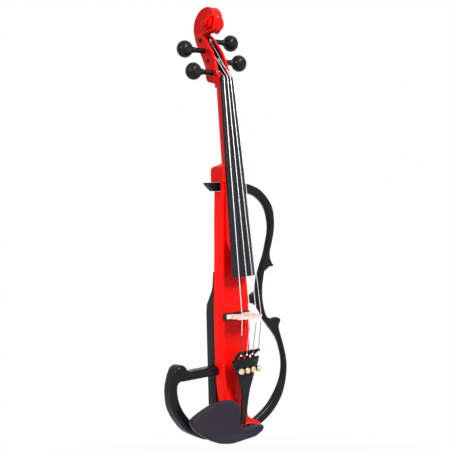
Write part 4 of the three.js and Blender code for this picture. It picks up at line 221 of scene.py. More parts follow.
# %% Break the edges of a CAD copy
def broken_edges(node, finish, width, body="violin", segments=2, sharper_than=30, smooth=45):
    """A copy of a CAD node with its coplanar triangles joined and each edge sharper than an angle rounded."""
    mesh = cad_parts[node].data.copy()
    mesh.name = f"{node}_dressed"
    form = bmesh.new()
    form.from_mesh(mesh)
    bmesh.ops.remove_doubles(form, verts=form.verts, dist=2e-6)
    bmesh.ops.dissolve_limit(form, angle_limit=math.radians(1.0), verts=form.verts, edges=form.edges)
    form.to_mesh(mesh)
    form.free()
    for name in [a.name for a in mesh.attributes if a.name.startswith("custom_normal")]:
        mesh.attributes.remove(mesh.attributes[name])
    mesh.polygons.foreach_set("use_smooth", [True] * len(mesh.polygons))
    mesh.set_sharp_from_angle(angle=math.radians(smooth))
    mesh.materials.clear()
    mesh.materials.append(finish)
    thing = bpy.data.objects.new(f"{node}_dressed", mesh)
    bpy.context.scene.collection.objects.link(thing)
    bevel = thing.modifiers.new("broken edges", "BEVEL")
    bevel.width = width / 1000.0
    bevel.segments = segments
    bevel.limit_method = "ANGLE"
    bevel.angle_limit = math.radians(sharper_than)
    bevel.use_clamp_overlap = True
    bevel.harden_normals = False
    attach(thing, body)
    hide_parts(node)
    print(f"{node}: {len(mesh.polygons)} faces before the bevel")
    return thing

# %% [markdown]
# The camera stands where the photographer stood: to the front and left of the violin, almost level with it, with a
# slight roll. Its lens is worked out for a square picture. A camera looks along its own -Z, so the third column
# of its matrix points backwards.

# %% Camera
AZIMUTH, ELEVATION, ROLL = (math.radians(v) for v in (-40.380, 2.2725, -1.4304))
CAMERA_PLACE = (-0.825188, -0.995739, -0.215178)
SENSOR_WIDTH, FOCAL_LENGTH = 36.0, 73.42
back = np.array((math.sin(AZIMUTH) * math.cos(ELEVATION), -math.cos(AZIMUTH) * math.cos(ELEVATION),
                 math.sin(ELEVATION)))
level = np.cross(-back, (0, 0, 1))
level /= np.linalg.norm(level)
upright = np.cross(level, -back)
right = math.cos(ROLL) * level + math.sin(ROLL) * upright
up = -math.sin(ROLL) * level + math.cos(ROLL) * upright
camera = bpy.data.objects.new("camera", bpy.data.cameras.new("camera"))
camera.data.sensor_width, camera.data.lens = SENSOR_WIDTH, FOCAL_LENGTH
camera.data.clip_start, camera.data.clip_end = 0.05, 60
pose = np.eye(4)
pose[:3, 0], pose[:3, 1], pose[:3, 2], pose[:3, 3] = right, up, back, CAMERA_PLACE
camera.matrix_world = Matrix(pose.tolist())
bpy.context.scene.collection.objects.link(camera)
bpy.context.scene.camera = camera
bpy.context.scene.view_settings.view_transform = "Standard"
print("camera", [round(v, 3) for v in camera.location])

# %% [markdown]
# Node trees are long to write out, so a small class keeps one material's tree and adds to it the few things that
# each finish needs: coordinates stretched along the grain, noise, a ramp between two colours, a range for the
# roughness and a bump. Each setting that is the same all over is set on the shader's own socket.

# %% A maker of finishes
class Finish:
    """One node material: its tree, its shader and its place on the piece, with a method for each kind of node."""

    def __init__(self, name, **sockets):
        self.material = bpy.data.materials.new(name)
        self.material.use_nodes = True
        self.tree = self.material.node_tree
        self.shader = self.tree.nodes["Principled BSDF"]
        for socket, value in sockets.items():
            self.shader.inputs[socket.replace("_", " ")].default_value = value
        self.place = self.tree.nodes.new("ShaderNodeTexCoord").outputs["Object"]

    def node(self, kind, **inputs):
        """A node with its inputs set or linked. An input is called by its name, or by _ and its number."""
        made = self.tree.nodes.new(kind)
        for socket, value in inputs.items():
            self.feed(made.inputs[int(socket[1:]) if socket[0] == "_" else socket.replace("_", " ")], value)
        return made

    def feed(self, socket, value):
        """Links an output to a socket, or writes a plain value into it."""
        if isinstance(value, bpy.types.NodeSocket):
            self.tree.links.new(value, socket)
        else:
            socket.default_value = value

    def stretched(self, scale, turn=(0, 0, 0)):
        """The place on the piece, times a scale for each direction and turned by degrees."""
        made = self.node("ShaderNodeMapping", Vector=self.place, Scale=scale)
        made.inputs["Rotation"].default_value = [math.radians(v) for v in turn]
        return made.outputs["Vector"]

    def noise(self, scale, detail=4.0, roughness=0.55, at=None, twist=0.0):
        """Noise between 0 and 1, with so many waves in a metre."""
        return self.node("ShaderNodeTexNoise", Vector=at or self.place, Scale=scale, Detail=detail,
                         Roughness=roughness, Distortion=twist).outputs["Fac"]

    def math(self, operation, a, b=0.0):
        """One sum on two values."""
        made = self.node("ShaderNodeMath", _0=a, _1=b)
        made.operation = operation
        return made.outputs[0]

    def ramp(self, factor, *stops):
        """A colour that moves from stop to stop, each a position and a colour, as the factor rises."""
        made = self.node("ShaderNodeValToRGB", Fac=factor)
        while len(made.color_ramp.elements) < len(stops):
            made.color_ramp.elements.new(0.5)
        for element, (position, colour) in zip(made.color_ramp.elements, stops):
            element.position, element.color = position, (*colour, 1.0)
        return made.outputs["Color"]

    def range(self, value, low, high, start=0.3, end=0.7):
        """Moves from low to high while the value goes from start to end."""
        made = self.node("ShaderNodeMapRange", Value=value)
        for socket, number in zip(("From Min", "From Max", "To Min", "To Max"), (start, end, low, high)):
            made.inputs[socket].default_value = number
        return made.outputs["Result"]

    def mix(self, factor, a, b):
        """Colour a where the factor is 0, colour b where it is 1."""
        made = self.tree.nodes.new("ShaderNodeMix")
        made.data_type = "RGBA"
        self.feed(made.inputs["Factor"], factor)
        self.feed(made.inputs["A"], (*a, 1.0) if isinstance(a, tuple) else a)
        self.feed(made.inputs["B"], (*b, 1.0) if isinstance(b, tuple) else b)
        return made.outputs["Result"]

    def bump(self, height, depth, strength=1.0):
        """A surface that leans as if it rose by the depth, in metres, where the height is 1."""
        return self.node("ShaderNodeBump", Height=height, Distance=depth, Strength=strength).outputs["Normal"]

    def shade(self, **sockets):
        """Feeds the shader's sockets and hands the finished material over."""
        for socket, value in sockets.items():
            self.feed(self.shader.inputs[socket.replace("_", " ")], value)
        return self.material


def length_along(finish):
    """The number that the sewing function kept in each point, in metres: a length along the piece, or in the pegbox the
    depth inside its trough."""
    made = finish.tree.nodes.new("ShaderNodeAttribute")
    made.attribute_name = "along"
    return made.outputs["Fac"]

# %% [markdown]
# The room is a photographer's white sweep: whatever the camera sees beside the violin is white, and so is what metal
# and lacquer mirror. More lamps on a grey wall could make it white too, but they would bleach the violin. So the white
# is given only to the rays that look at the sweep, and its diffuse light is lower, so that a colour renders about as
# it is written.

# %% World and floor
WHITE, ROOM_LIGHT = 1.0, 0.30


def seen_ray(tree):
    """1 for a ray from the camera, from a mirror or through glass, and 0 for diffuse light: the largest of the three
    answers of the Light Path node."""
    path = tree.nodes.new("ShaderNodeLightPath")
    largest = path.outputs["Is Camera Ray"]
    for kind in ("Is Glossy Ray", "Is Transmission Ray"):
        larger = tree.nodes.new("ShaderNodeMath")
        larger.operation = "MAXIMUM"
        tree.links.new(largest, larger.inputs[0])
        tree.links.new(path.outputs[kind], larger.inputs[1])
        largest = larger.outputs[0]
    return largest


world = bpy.data.worlds.new("sweep")
bpy.context.scene.world = world
world.use_nodes = True
sky = world.node_tree
level_of_light = sky.nodes.new("ShaderNodeMapRange")
sky.links.new(seen_ray(sky), level_of_light.inputs["Value"])
level_of_light.inputs["To Min"].default_value = ROOM_LIGHT
level_of_light.inputs["To Max"].default_value = WHITE
sky.nodes["Background"].inputs["Color"].default_value = (1, 1, 1, 1)
sky.links.new(level_of_light.outputs["Result"], sky.nodes["Background"].inputs["Strength"])


def grid_sheet(name, points, finish):
    """A sheet of the stage from a grid of points (rows, columns, 3): a quad between each two rows and columns."""
    rows, columns = points.shape[:2]
    r, i = np.meshgrid(np.arange(rows - 1), np.arange(columns - 1), indexing="ij")
    quads = np.stack((r * columns + i, r * columns + i + 1, (r + 1) * columns + i + 1, (r + 1) * columns + i), -1)
    mesh = bpy.data.meshes.new(name)
    mesh.from_pydata(points.reshape(-1, 3).tolist(), [], quads.reshape(-1, 4).tolist())
    mesh.materials.append(finish)
    sheet = bpy.data.objects.new(name, mesh)
    bpy.context.scene.collection.objects.link(sheet)
    return sheet


def around(radius, azimuth, height):
    """Points at a distance from the axis, with the azimuth counted from the front towards the treble side."""
    return np.stack(np.broadcast_arrays(radius * np.sin(azimuth), -radius * np.cos(azimuth), height), -1)


FLOOR_BELOW = 0.30
FLOOR_RINGS = (0.01, 0.5, 1.2, 2.5, 5.0, 14.0)
PAPER_ENDS, WHITE_STARTS = 0.45, 1.1
floor_height = cad_box[0][2] - FLOOR_BELOW
paper = Finish("white sweep", Base_Color=(0.93, 0.93, 0.93, 1), Roughness=0.9, Specular_IOR_Level=0.1)
distance = paper.node("ShaderNodeVectorMath", _0=paper.stretched((1, 1, 0)))
distance.operation = "LENGTH"
far = paper.range(distance.outputs["Value"], 0.0, 1.0, PAPER_ENDS, WHITE_STARTS)
glow = paper.node("ShaderNodeEmission", Strength=seen_ray(paper.tree))
blend = paper.node("ShaderNodeMixShader", Fac=far, _1=paper.shader.outputs[0], _2=glow.outputs[0])
paper.tree.links.new(blend.outputs[0], paper.tree.nodes["Material Output"].inputs["Surface"])
paper.shade(Normal=paper.bump(paper.noise(900, 3), 0.0002, 0.3))
grid_sheet("floor", around(np.array(FLOOR_RINGS)[:, None], np.linspace(0, 2 * np.pi, 65)[None], floor_height),
           paper.material)
print("floor at", round(floor_height, 3))

# %% [markdown]
# A large lamp stands high in front and does most of the work, as a window would. A small one on the bass side draws the
# highlights of the scroll, and one behind lights the rounding of the neck. A spot with a narrow soft cone, which
# photographers call a snoot, lights the body's left side. One lamp at the camera would be simpler, but it would flatten
# every rounding. The last two are left out of mirror-like rays, so that they draw no pale lines along the lacquer.

# %% Lamps
def aimed(data, place, aim):
    """Stands a lamp at its place, turned so that its own -Z looks at its aim."""
    made = bpy.data.objects.new(data.name, data)
    made.location = place
    made.rotation_euler = (Vector(aim) - Vector(place)).to_track_quat("-Z", "Y").to_euler()
    bpy.context.scene.collection.objects.link(made)
    return made


def lamp(name, place, aim, size, watts):
    """A soft lamp with a width and a height."""
    data = bpy.data.lights.new(name, "AREA")
    data.shape, (data.size, data.size_y), data.energy = "RECTANGLE", size, watts
    return aimed(data, place, aim)


MIDDLE = (0, 0, -0.25)
lamp("key", (0.26, -1.87, 1.07), MIDDLE, (0.8, 0.8), 68)
lamp("left", (-1.0, -0.35, 0.25), (0, 0, -0.05), (0.25, 0.35), 4)
rear = lamp("rear", (-0.7, 1.9, 0.4), MIDDLE, (0.9, 0.9), 16)

snoot = bpy.data.lights.new("snoot", "SPOT")
snoot.energy, snoot.spot_size, snoot.spot_blend, snoot.shadow_soft_size = 50, math.radians(17), 0.8, 0.06
low_left = aimed(snoot, (-1.5, -0.3, -0.36), (-0.03, -0.04, -0.385))
rear.visible_glossy = low_left.visible_glossy = False
print("lamps:", len(bpy.data.lights))

# %% [markdown]
# Red lacquer is colour under glass: several sprayed coats of red, sanded and buffed, then clear coat. The colour varies
# a little in depth, the coat has the faint waviness that spray leaves, and handling dulls the colour below it in
# places. The shader's Coat does the glass, and a soft base does the colour. The coat's weight is low, because in a room
# that is white all round a full coat would lay grey over black and deep red. Inside the pegbox the trough gets painted
# shade: a second, near-black colour takes over with the depth in the trough, where shade falls.

# %% Lacquers
def lacquer(name, deep, bright, coat=0.2, base_roughness=0.42, trough=None):
    """Two shades of one colour, mixed by clouds and flecks, under a wavy clear coat. Where a trough colour is given, it
    is painted shade that takes over between 1 and 5 mm of depth."""
    f = Finish(name, Coat_Weight=coat, Coat_IOR=1.45, Coat_Roughness=0.05, Specular_IOR_Level=0.06)
    cloud = f.noise(26, 3, 0.5)
    fleck = f.noise(1500, 2, 0.5)
    colour = f.ramp(f.math("ADD", f.math("MULTIPLY", cloud, 0.85), f.math("MULTIPLY", fleck, 0.15)),
                    (0.30, deep), (0.68, bright))
    # Painted shade: inside the pegbox's trough the colour darkens towards the trough colour with the depth, where shade
    # falls.
    if trough:
        colour = f.mix(f.range(length_along(f), 0, 1, 0.001, 0.005), colour, trough)
    wave = f.noise(210, 2, 0.4)
    handled = f.noise(38, 5, 0.6)
    ripple = f.bump(wave, 0.00012, 0.30)
    return f.shade(Base_Color=colour, Roughness=f.range(handled, base_roughness, base_roughness + 0.14, 0.35, 0.8),
                   Normal=ripple, Coat_Normal=ripple)


# The third colour is painted shade for the inside of the pegbox's trough.
DEEP_RED, BRIGHT_RED, TROUGH_SHADE = (0.76, 0.0030, 0.0012), (0.90, 0.0050, 0.0020), (0.020, 0.003, 0.003)
red_lacquer = lacquer("red_lacquer", DEEP_RED, BRIGHT_RED)
neck_lacquer = lacquer("neck_lacquer", DEEP_RED, BRIGHT_RED, trough=TROUGH_SHADE)
black_lacquer = lacquer("black_lacquer", (0.0045, 0.0045, 0.006), (0.006, 0.006, 0.0075), coat=0.25,
                        base_roughness=0.3)

# %% [markdown]
# The fingerboard, nut and saddle are ebony: nearly black, with a fine grain that runs along the neck and short open
# pores. Stretching the noise along Z makes the grain, and a second, longer noise makes the pores.

# %% Ebony and polished black wood
def black_wood(name, dark, light, roughness, pore=0.5, along=2, coat=0.0):
    """Fine and long noise, both drawn out along one axis (0, 1 or 2 for X, Y or Z), mix the colour. The lowest parts of
    the fine one sink as pores."""
    f = Finish(name, Coat_Weight=coat, Coat_Roughness=0.16, Specular_IOR_Level=0.12)
    squeeze = [1.0, 1.0, 1.0]
    squeeze[along] = 0.045
    fibre = f.noise(1900, 5, 0.6, at=f.stretched(squeeze), twist=0.4)
    streak = f.noise(240, 3, 0.5, at=f.stretched(squeeze))
    colour = f.ramp(f.math("ADD", f.math("MULTIPLY", fibre, 0.55), f.math("MULTIPLY", streak, 0.45)),
                    (0.34, dark), (0.70, light))
    pores = f.range(fibre, 1.0, 0.0, 0.26, 0.40)
    return f.shade(Base_Color=colour, Roughness=f.range(streak, roughness[0], roughness[1]),
                   Normal=f.bump(pores, -0.00006, pore))


ebony = black_wood("ebony", (0.008, 0.0075, 0.010), (0.024, 0.022, 0.028), (0.34, 0.46))
peg_wood = black_wood("peg_wood", (0.003, 0.003, 0.0045), (0.008, 0.0075, 0.010), (0.30, 0.44), 0.35, along=0,
                      coat=0.15)
rest_wood = black_wood("rest_wood", (0.019, 0.015, 0.024), (0.027, 0.022, 0.034), (0.42, 0.54), 0.3, along=0)

# %% [markdown]
# Moulded and painted black parts share one look: a fine texture that breaks the shine, a trace of grey where fingers
# have polished it, and no grain.

# %% Satin black
def moulded(name, colour, roughness, grain_size, depth):
    """One colour and a lighter one where it is rubbed, which is smoother too, over a fine grain."""
    f = Finish(name, Specular_IOR_Level=0.14)
    grain = f.noise(grain_size, 2, 0.5)
    rubbed = f.noise(60, 4, 0.6)
    light = tuple(v * 1.9 + 0.002 for v in colour)
    return f.shade(Base_Color=f.mix(f.range(rubbed, 0, 1, 0.35, 0.75), colour, light),
                   Roughness=f.range(rubbed, roughness[1], roughness[0]), Normal=f.bump(grain, depth, 0.5))


satin_black = moulded("satin_black", (0.006, 0.006, 0.008), (0.30, 0.42), 2600, 0.00003)
knob_black = moulded("knob_black", (0.012, 0.012, 0.013), (0.36, 0.50), 3600, 0.00004)
nylon = moulded("nylon", (0.012, 0.012, 0.014), (0.22, 0.34), 1800, 0.00001)
pickup_black = moulded("pickup_black", (0.008, 0.008, 0.009), (0.34, 0.46), 3000, 0.00003)

# %% [markdown]
# Bridges are cut from quartered maple and left bare. It is pale, with short brown flecks lying across the grain and
# a faint silk in the light, and its pores are too fine to see.

# %% Maple
def bare_maple():
    """Grain drawn out across the bridge mixes two pale browns, and short flecks darken it."""
    f = Finish("maple", Specular_IOR_Level=0.35, Sheen_Weight=0.1, Sheen_Roughness=0.4)
    grain = f.noise(820, 4, 0.55, at=f.stretched((0.10, 1, 1)), twist=0.6)
    fleck = f.noise(900, 2, 0.4, at=f.stretched((0.35, 1, 1.6)))
    wood = f.ramp(grain, (0.32, (0.68, 0.46, 0.40)), (0.68, (0.86, 0.62, 0.55)))
    colour = f.mix(f.range(fleck, 0.0, 0.55, 0.60, 0.72), wood, (0.60, 0.34, 0.27))
    return f.shade(Base_Color=colour, Roughness=f.range(grain, 0.48, 0.62), Normal=f.bump(grain, 0.00005, 0.4))


maple = bare_maple()

# %% [markdown]
# Metal shows its making in its roughness: a plated screw has fine turning marks and small scratches, a string has the
# ridges of its winding, and both tarnish unevenly. Colour and roughness follow the same noise, so that a dull
# patch is also a little darker.

# %% Metals
def plated(name, bright, dull, roughness):
    """Tarnish in patches moves the colour and the roughness together, and fine marks lie round the screw's axis, Y."""
    f = Finish(name, Metallic=1.0)
    patch = f.noise(170, 4, 0.6)
    marks = f.noise(3200, 3, 0.6, at=f.stretched((1, 0.1, 1)))
    return f.shade(Base_Color=f.ramp(patch, (0.32, dull), (0.62, bright)),
                   Roughness=f.range(f.math("ADD", f.math("MULTIPLY", patch, 0.6), f.math("MULTIPLY", marks, 0.4)),
                                     roughness[1], roughness[0]),
                   Normal=f.bump(marks, 0.00002, 0.35))


gold_plate = plated("gold_plate", (0.95, 0.80, 0.56), (0.66, 0.46, 0.20), (0.20, 0.38))
nickel_plate = plated("nickel_plate", (0.72, 0.72, 0.70), (0.46, 0.46, 0.45), (0.14, 0.32))
black_nickel = plated("black_nickel", (0.055, 0.055, 0.062), (0.020, 0.020, 0.023), (0.20, 0.34))


def wound_steel(name, pitch, bright, dull):
    """Ridges of a wound string: a sine of the length along it, once for each turn of the winding wire. The ridges shape
    the bump, and in the colour they paint a highlight on each crown and shade in each groove, over real tarnish
    patches.
    """
    f = Finish(name, Metallic=1.0)
    turns = f.math("MULTIPLY", length_along(f), 2 * math.pi / pitch)
    ridge = f.math("SINE", turns)
    patch = f.noise(120, 3, 0.6)
    # Colour: real tarnish patches, plus a painted highlight on the crowns and painted shade in the grooves of the
    # winding.
    worn = f.math("ADD", f.math("MULTIPLY", ridge, 0.18), patch)
    return f.shade(Base_Color=f.ramp(worn, (0.30, dull), (0.62, bright)), Roughness=f.range(patch, 0.44, 0.32),
                   Normal=f.bump(ridge, 0.00002, 0.3))


wound_string = wound_steel("wound_string", 0.00028, (0.97, 0.97, 0.97), (0.90, 0.90, 0.90))
plain_string = wound_steel("plain_string", 0.0009, (0.97, 0.97, 0.96), (0.90, 0.90, 0.89))

# %% [markdown]
# The ball end of each string is wrapped with silk thread, whose colour tells the strings apart. A picture of thread
# would need a map round the sleeve. A sine of the length along the string draws one ridge for each turn instead: a
# bump, and in the colour a painted highlight on each crown and painted shade in each groove, with a little noise.

# %% Silk
def silk(name, colour, shade):
    """One ridge of thread every 0.45 mm, smoother on its crown. In the colour the crown is a painted highlight and the
    groove between turns painted shade, with a little noise.
    """
    f = Finish(name, Sheen_Weight=0.4, Sheen_Roughness=0.35, Specular_IOR_Level=0.4)
    thread = f.math("SINE", f.math("MULTIPLY", length_along(f), 2 * math.pi / 0.00045))
    return f.shade(Base_Color=f.ramp(f.math("ADD", f.math("MULTIPLY", thread, 0.3), f.noise(600, 3)),
                                     (0.30, shade), (0.75, colour)),
                   Roughness=f.range(thread, 0.50, 0.70, -1, 1), Normal=f.bump(thread, 0.00005, 0.6))


string_silk = {"g": silk("dark_silk", (0.020, 0.018, 0.030), (0.006, 0.006, 0.009)),
               "d": silk("rose_silk", (0.80, 0.50, 0.55), (0.55, 0.28, 0.33)),
               "a": silk("grey_silk", (0.26, 0.25, 0.29), (0.14, 0.14, 0.17))}
string_silk["e"] = string_silk["a"]

# %% [markdown]
# Cork is a mosaic of cells with darker specks. A Voronoi texture makes the cells, and a noise picks the specks. The
# circuit board's copper tracks show through its green mask, for which the mortar of a Brick texture will do. A
# nine-volt battery has a coloured band at one end, which a narrow range of the height draws.

# %% Cork, circuit board and battery
def cork_sheet():
    """Two browns mixed by the distance to a cell's middle, and dark specks where a noise is high."""
    f = Finish("cork", Specular_IOR_Level=0.2)
    cells = f.node("ShaderNodeTexVoronoi", Vector=f.place, Scale=1300.0)
    speck = f.noise(900, 3, 0.6)
    bark = f.mix(cells.outputs["Distance"], (0.50, 0.32, 0.16), (0.36, 0.21, 0.10))
    colour = f.mix(f.range(speck, 0, 1, 0.55, 0.68), bark, (0.16, 0.08, 0.035))
    return f.shade(Base_Color=colour, Roughness=f.range(speck, 0.80, 0.95),
                   Normal=f.bump(cells.outputs["Distance"], 0.00012, 0.6))


def solder_mask():
    """Bricks in two greens with pale mortar for the tracks, turned to face the back."""
    f = Finish("circuit_green", Specular_IOR_Level=0.5)
    tracks = f.node("ShaderNodeTexBrick", Vector=f.stretched((1, 1, 1), (90, 0, 0)), Scale=160.0, Mortar_Size=0.03,
                    Color1=(0.012, 0.085, 0.030, 1), Color2=(0.016, 0.11, 0.040, 1), Mortar=(0.05, 0.24, 0.08, 1))
    dust = f.noise(500, 4)
    return f.shade(Base_Color=tracks.outputs["Color"], Roughness=f.range(dust, 0.30, 0.48),
                   Normal=f.bump(tracks.outputs["Fac"], 0.00005, 0.6))


def battery_case():
    """Dark steel below and a tan band above 143 mm, both mottled by wear."""
    f = Finish("battery_case", Specular_IOR_Level=0.5)
    height = f.node("ShaderNodeSeparateXYZ", Vector=f.place).outputs["Z"]
    band = f.range(height, 0.0, 1.0, to_scene((0, 0, 143))[2], to_scene((0, 0, 143.4))[2])
    worn = f.noise(400, 4)
    return f.shade(Base_Color=f.mix(band, f.mix(worn, (0.030, 0.034, 0.042), (0.055, 0.060, 0.072)),
                                    f.mix(worn, (0.50, 0.32, 0.12), (0.62, 0.42, 0.18))),
                   Metallic=0.3, Roughness=f.range(worn, 0.28, 0.42), Normal=f.bump(worn, 0.00003, 0.3))


cork, circuit_green, battery_steel = cork_sheet(), solder_mask(), battery_case()
print("finishes:", len(bpy.data.materials))

# %% [markdown]
# The body core is one board of lacquered wood: narrow at the neck, fullest below the middle, narrow again above a
# flared foot. Its front edges are rounded like a bar of soap and its back edges only broken. A box with a Bevel would
# give the edges but not the waist. So a table of heights and half widths gives the outline, and every ring is a
# rectangle with round corners.

# %% Body core
BODY_LENGTH, BODY_DEPTH, BODY_HALF, FOOT_HALF, FOOT_HEIGHT = 332.0, 18.0, 26.0, 43.0, 24.0
FRONT_RADIUS, BACK_RADIUS = 5.0, 2.5
foot_shares = [(0, 0.93), (0.1, 0.985), (0.2, 0.97), (0.3, 0.88), (0.42, 0.72), (0.6, 0.55), (0.8, 0.47)]
width_shares = [(0.0723, 0.75), (0.11, 0.8), (0.172, 0.915), (0.24, 0.97), (0.33, 1), (0.44, 1), (0.56, 0.975),
                (0.75, 0.87), (0.9, 0.81), (1, 0.75)]
body_rows = ([(FOOT_HEIGHT * z, FOOT_HALF * w) for z, w in foot_shares]
             + [(BODY_LENGTH * z, BODY_HALF * w) for z, w in width_shares])


def body_half(height):
    """Half width of the body at a height: the smooth line through the table's rows."""
    return follow(body_rows, height)[:, 0]


def eased(rings, radius, last_radius=None, steps=4):
    """Rounds the rims of both lids: over the last stretch of the length the rings draw in towards their middle, by
    radius * (1 - sin) at a way of radius * (1 - cos) from the lid."""
    turn = np.linspace(0, np.pi / 2, steps)

    def end(first, second, radius):
        """The rings of one end, from its lid inwards."""
        way = second.mean(axis=0) - first.mean(axis=0)
        step = way / np.linalg.norm(way)
        reach = radius * (1 - np.cos(turn))
        inset = radius * (1 - np.sin(turn))
        from_middle = first - first.mean(axis=0)
        far = np.linalg.norm(from_middle, axis=1)[:, None]
        return [first + step * a - from_middle / far * np.minimum(b, far * 0.9) for a, b in zip(reach, inset)]
    last_radius = radius if last_radius is None else last_radius
    return np.concatenate((end(rings[0], rings[1], radius), rings[1:-1],
                           end(rings[-1], rings[-2], last_radius)[::-1]))


heights = np.concatenate((np.linspace(0, FOOT_HEIGHT, 34)[:-1], np.linspace(FOOT_HEIGHT, BODY_LENGTH, 64)))
core = rounded(body_half(heights), 0, BODY_DEPTH, FRONT_RADIUS, BACK_RADIUS, heights, 9)
piece("body_core_lacquered", [sew(eased(core, 0.7, 0.15))], red_lacquer, instead=["body_core"])

# %% [markdown]
# The fingerboard is flat below and arched above, with a radius of 42 mm, so that the bow can reach one string at a
# time. Straight lines lead every size from the nut to the free end. The nut is the small block above it that holds the
# strings apart. Both have the same kind of ring, so one function draws them.

# %% Fingerboard and nut
NUT_HEIGHT, NUT_LENGTH, NUT_HALF, NUT_TOP = 483.6, 4.6, 11.4, 3.3
BOARD_END = 216.0
HALF_AT_NUT, HALF_AT_END = 10.8, 19.4
TOP_AT_NUT, TOP_AT_END = 3.8, -24.3
ARCH, EDGE = 42.0, 3.6


def arch_fall(radius, x):
    """How far a circular arch lies below its crown at a distance x from the middle: r - sqrt(r^2 - x^2)."""
    return radius - np.sqrt(radius**2 - np.asarray(x, float)**2)


def along_board(at_nut, at_end, height):
    """A size that changes evenly from the nut to the free end."""
    share = (NUT_HEIGHT - np.asarray(height, float)) / (NUT_HEIGHT - BOARD_END)
    return at_nut + (at_end - at_nut) * share


def board_half(height):
    """Half width of the board."""
    return along_board(HALF_AT_NUT, HALF_AT_END, height)


def board_top(height):
    """Y of the crown of the board's arch."""
    return along_board(TOP_AT_NUT, TOP_AT_END, height)


def board_under(height):
    """Y of the board's flat back: the crown, the fall of the arch to the side, and the height of the edge there."""
    return along_board(TOP_AT_NUT + EDGE + arch_fall(ARCH, HALF_AT_NUT),
                       TOP_AT_END + EDGE + arch_fall(ARCH, HALF_AT_END), height)


def arched(half, top, under, height, across=25, ease=0.55):
    """Rings with an arched front and a flat back: the side edges turn over by a quarter circle."""
    half, top, under, height = (np.atleast_1d(np.asarray(v, float))[:, None] for v in (half, top, under, height))
    share = np.linspace(-1, 1, across)[None]
    x = share * (half - ease)
    y = top + arch_fall(ARCH, x)
    turn = np.linspace(0, np.pi / 2, 4)[None, 1:]
    edge = top + arch_fall(ARCH, half - ease)
    right_x, right_y = half - ease + ease * np.sin(turn), edge + ease * (1 - np.cos(turn))
    ring_x = np.concatenate((x, right_x, half, -half, -right_x[:, ::-1]), axis=1)
    ring_y = np.concatenate((y, right_y, under, under, right_y[:, ::-1]), axis=1)
    return np.stack((ring_x, ring_y, np.broadcast_to(height, ring_x.shape)), -1)


heights = np.linspace(BOARD_END, NUT_HEIGHT - 0.3, 30)
board = arched(board_half(heights), board_top(heights), board_under(heights), heights)
piece("fingerboard_ebony", [sew(eased(board, 0.5))], ebony, instead=["fingerboard"])

heights = NUT_HEIGHT + NUT_LENGTH * np.array((0, 0.15, 0.4, 0.6, 0.75, 0.86, 0.94, 1))
drop = np.array((0, 0, 0, 0, 0, 0.06, 0.2, 0.42))
nut = arched(np.full(8, NUT_HALF), NUT_TOP + drop, np.full(8, board_under(NUT_HEIGHT)), heights)
piece("nut_ebony", [sew(eased(nut, 0.25))], ebony, instead=["nut"])

# %% [markdown]
# Neck, heel, root, pegbox and scroll are carved from one piece. Below the board the neck's section is a soft U that a
# thumb slides along: sin(turn)^0.85 makes it a little fuller than a half circle. The heel block rounds into it, and
# the root carries the board out over the body. Each of them is a closed shell of its own that reaches a little into the
# next, which is simpler than one skin over all of them and looks the same.

# %% Neck, heel and root
HEEL_BASE, HEEL_HEIGHT, HEEL_HALF, HEEL_BACK = 344.6, 22.0, 19.5, 26.5
GLUE_LINE, SIDE_STEP = 0.3, 0.3
SHAFT_THICKNESS, SHAFT_GAIN = 15.6, 0.2
ROOT_LOW, ROOT_FLAT, ROOT_HIGH = 248.0, 266.0, 346.6

heights = np.linspace(HEEL_BASE + 0.3, NUT_HEIGHT - NUT_LENGTH, 40)[:, None]
turn = np.linspace(0, np.pi, 33)[None]
front = board_under(heights) + GLUE_LINE
half = board_half(heights) - SIDE_STEP
thickness = SHAFT_THICKNESS + SHAFT_GAIN * (heights - HEEL_BASE) / (NUT_HEIGHT - NUT_LENGTH - HEEL_BASE)
shaft = np.stack((half * np.cos(turn), front + thickness * (0.12 + 0.88 * np.sin(turn)**0.85),
                  np.broadcast_to(heights, (40, 33))), -1)
lip = [np.stack((side * half, front, heights), -1) for side in (1, -1)]
neck = sew(np.concatenate((lip[0], shaft, lip[1]), axis=1))

heel_shares = [(0, 1, 1), (0.68, 1, 1), (0.8, 0.99, 0.985), (0.9, 0.97, 0.945), (0.97, 0.93, 0.875),
               (1.02, 0.85, 0.76), (1.07, 0.76, 0.62), (1.15, 0.68, 0.49)]
share = np.linspace(0, heel_shares[-1][0], 44)
width, depth = follow(heel_shares, share).T
heights = HEEL_BASE + HEEL_HEIGHT * share
front = board_under(heights) + GLUE_LINE
heel_rings = rounded(HEEL_HALF * width, front, front + (HEEL_BACK - front) * depth, 1, 5, heights, 8)
heel = sew(eased(heel_rings, 0.5))

neck_foot = sew(rounded(HEEL_HALF, -0.3, 3.5, 2.0, 0.5, np.array((BODY_LENGTH + 0.1, 340.0, HEEL_BASE + 2)), 9))

heights = np.array((ROOT_LOW, 254, 260, ROOT_FLAT, 300, ROOT_HIGH))
bends = (ROOT_LOW, ROOT_FLAT, ROOT_HIGH)
front = board_under(heights) + GLUE_LINE
back = np.interp(heights, bends, (board_under(ROOT_LOW) + 1.5, -0.3, -0.3))
half = np.interp(heights, bends, (board_half(ROOT_LOW) - 2, board_half(ROOT_FLAT) - 1.5, board_half(345) - SIDE_STEP))
root = sew(eased(rounded(half, front, back, 0.3, 0.5, heights, 3), 0.3))
print("neck shells enclose", [round(enclosed(*shell[:2]) / 1000, 1) for shell in (neck, heel, neck_foot, root)], "ml")
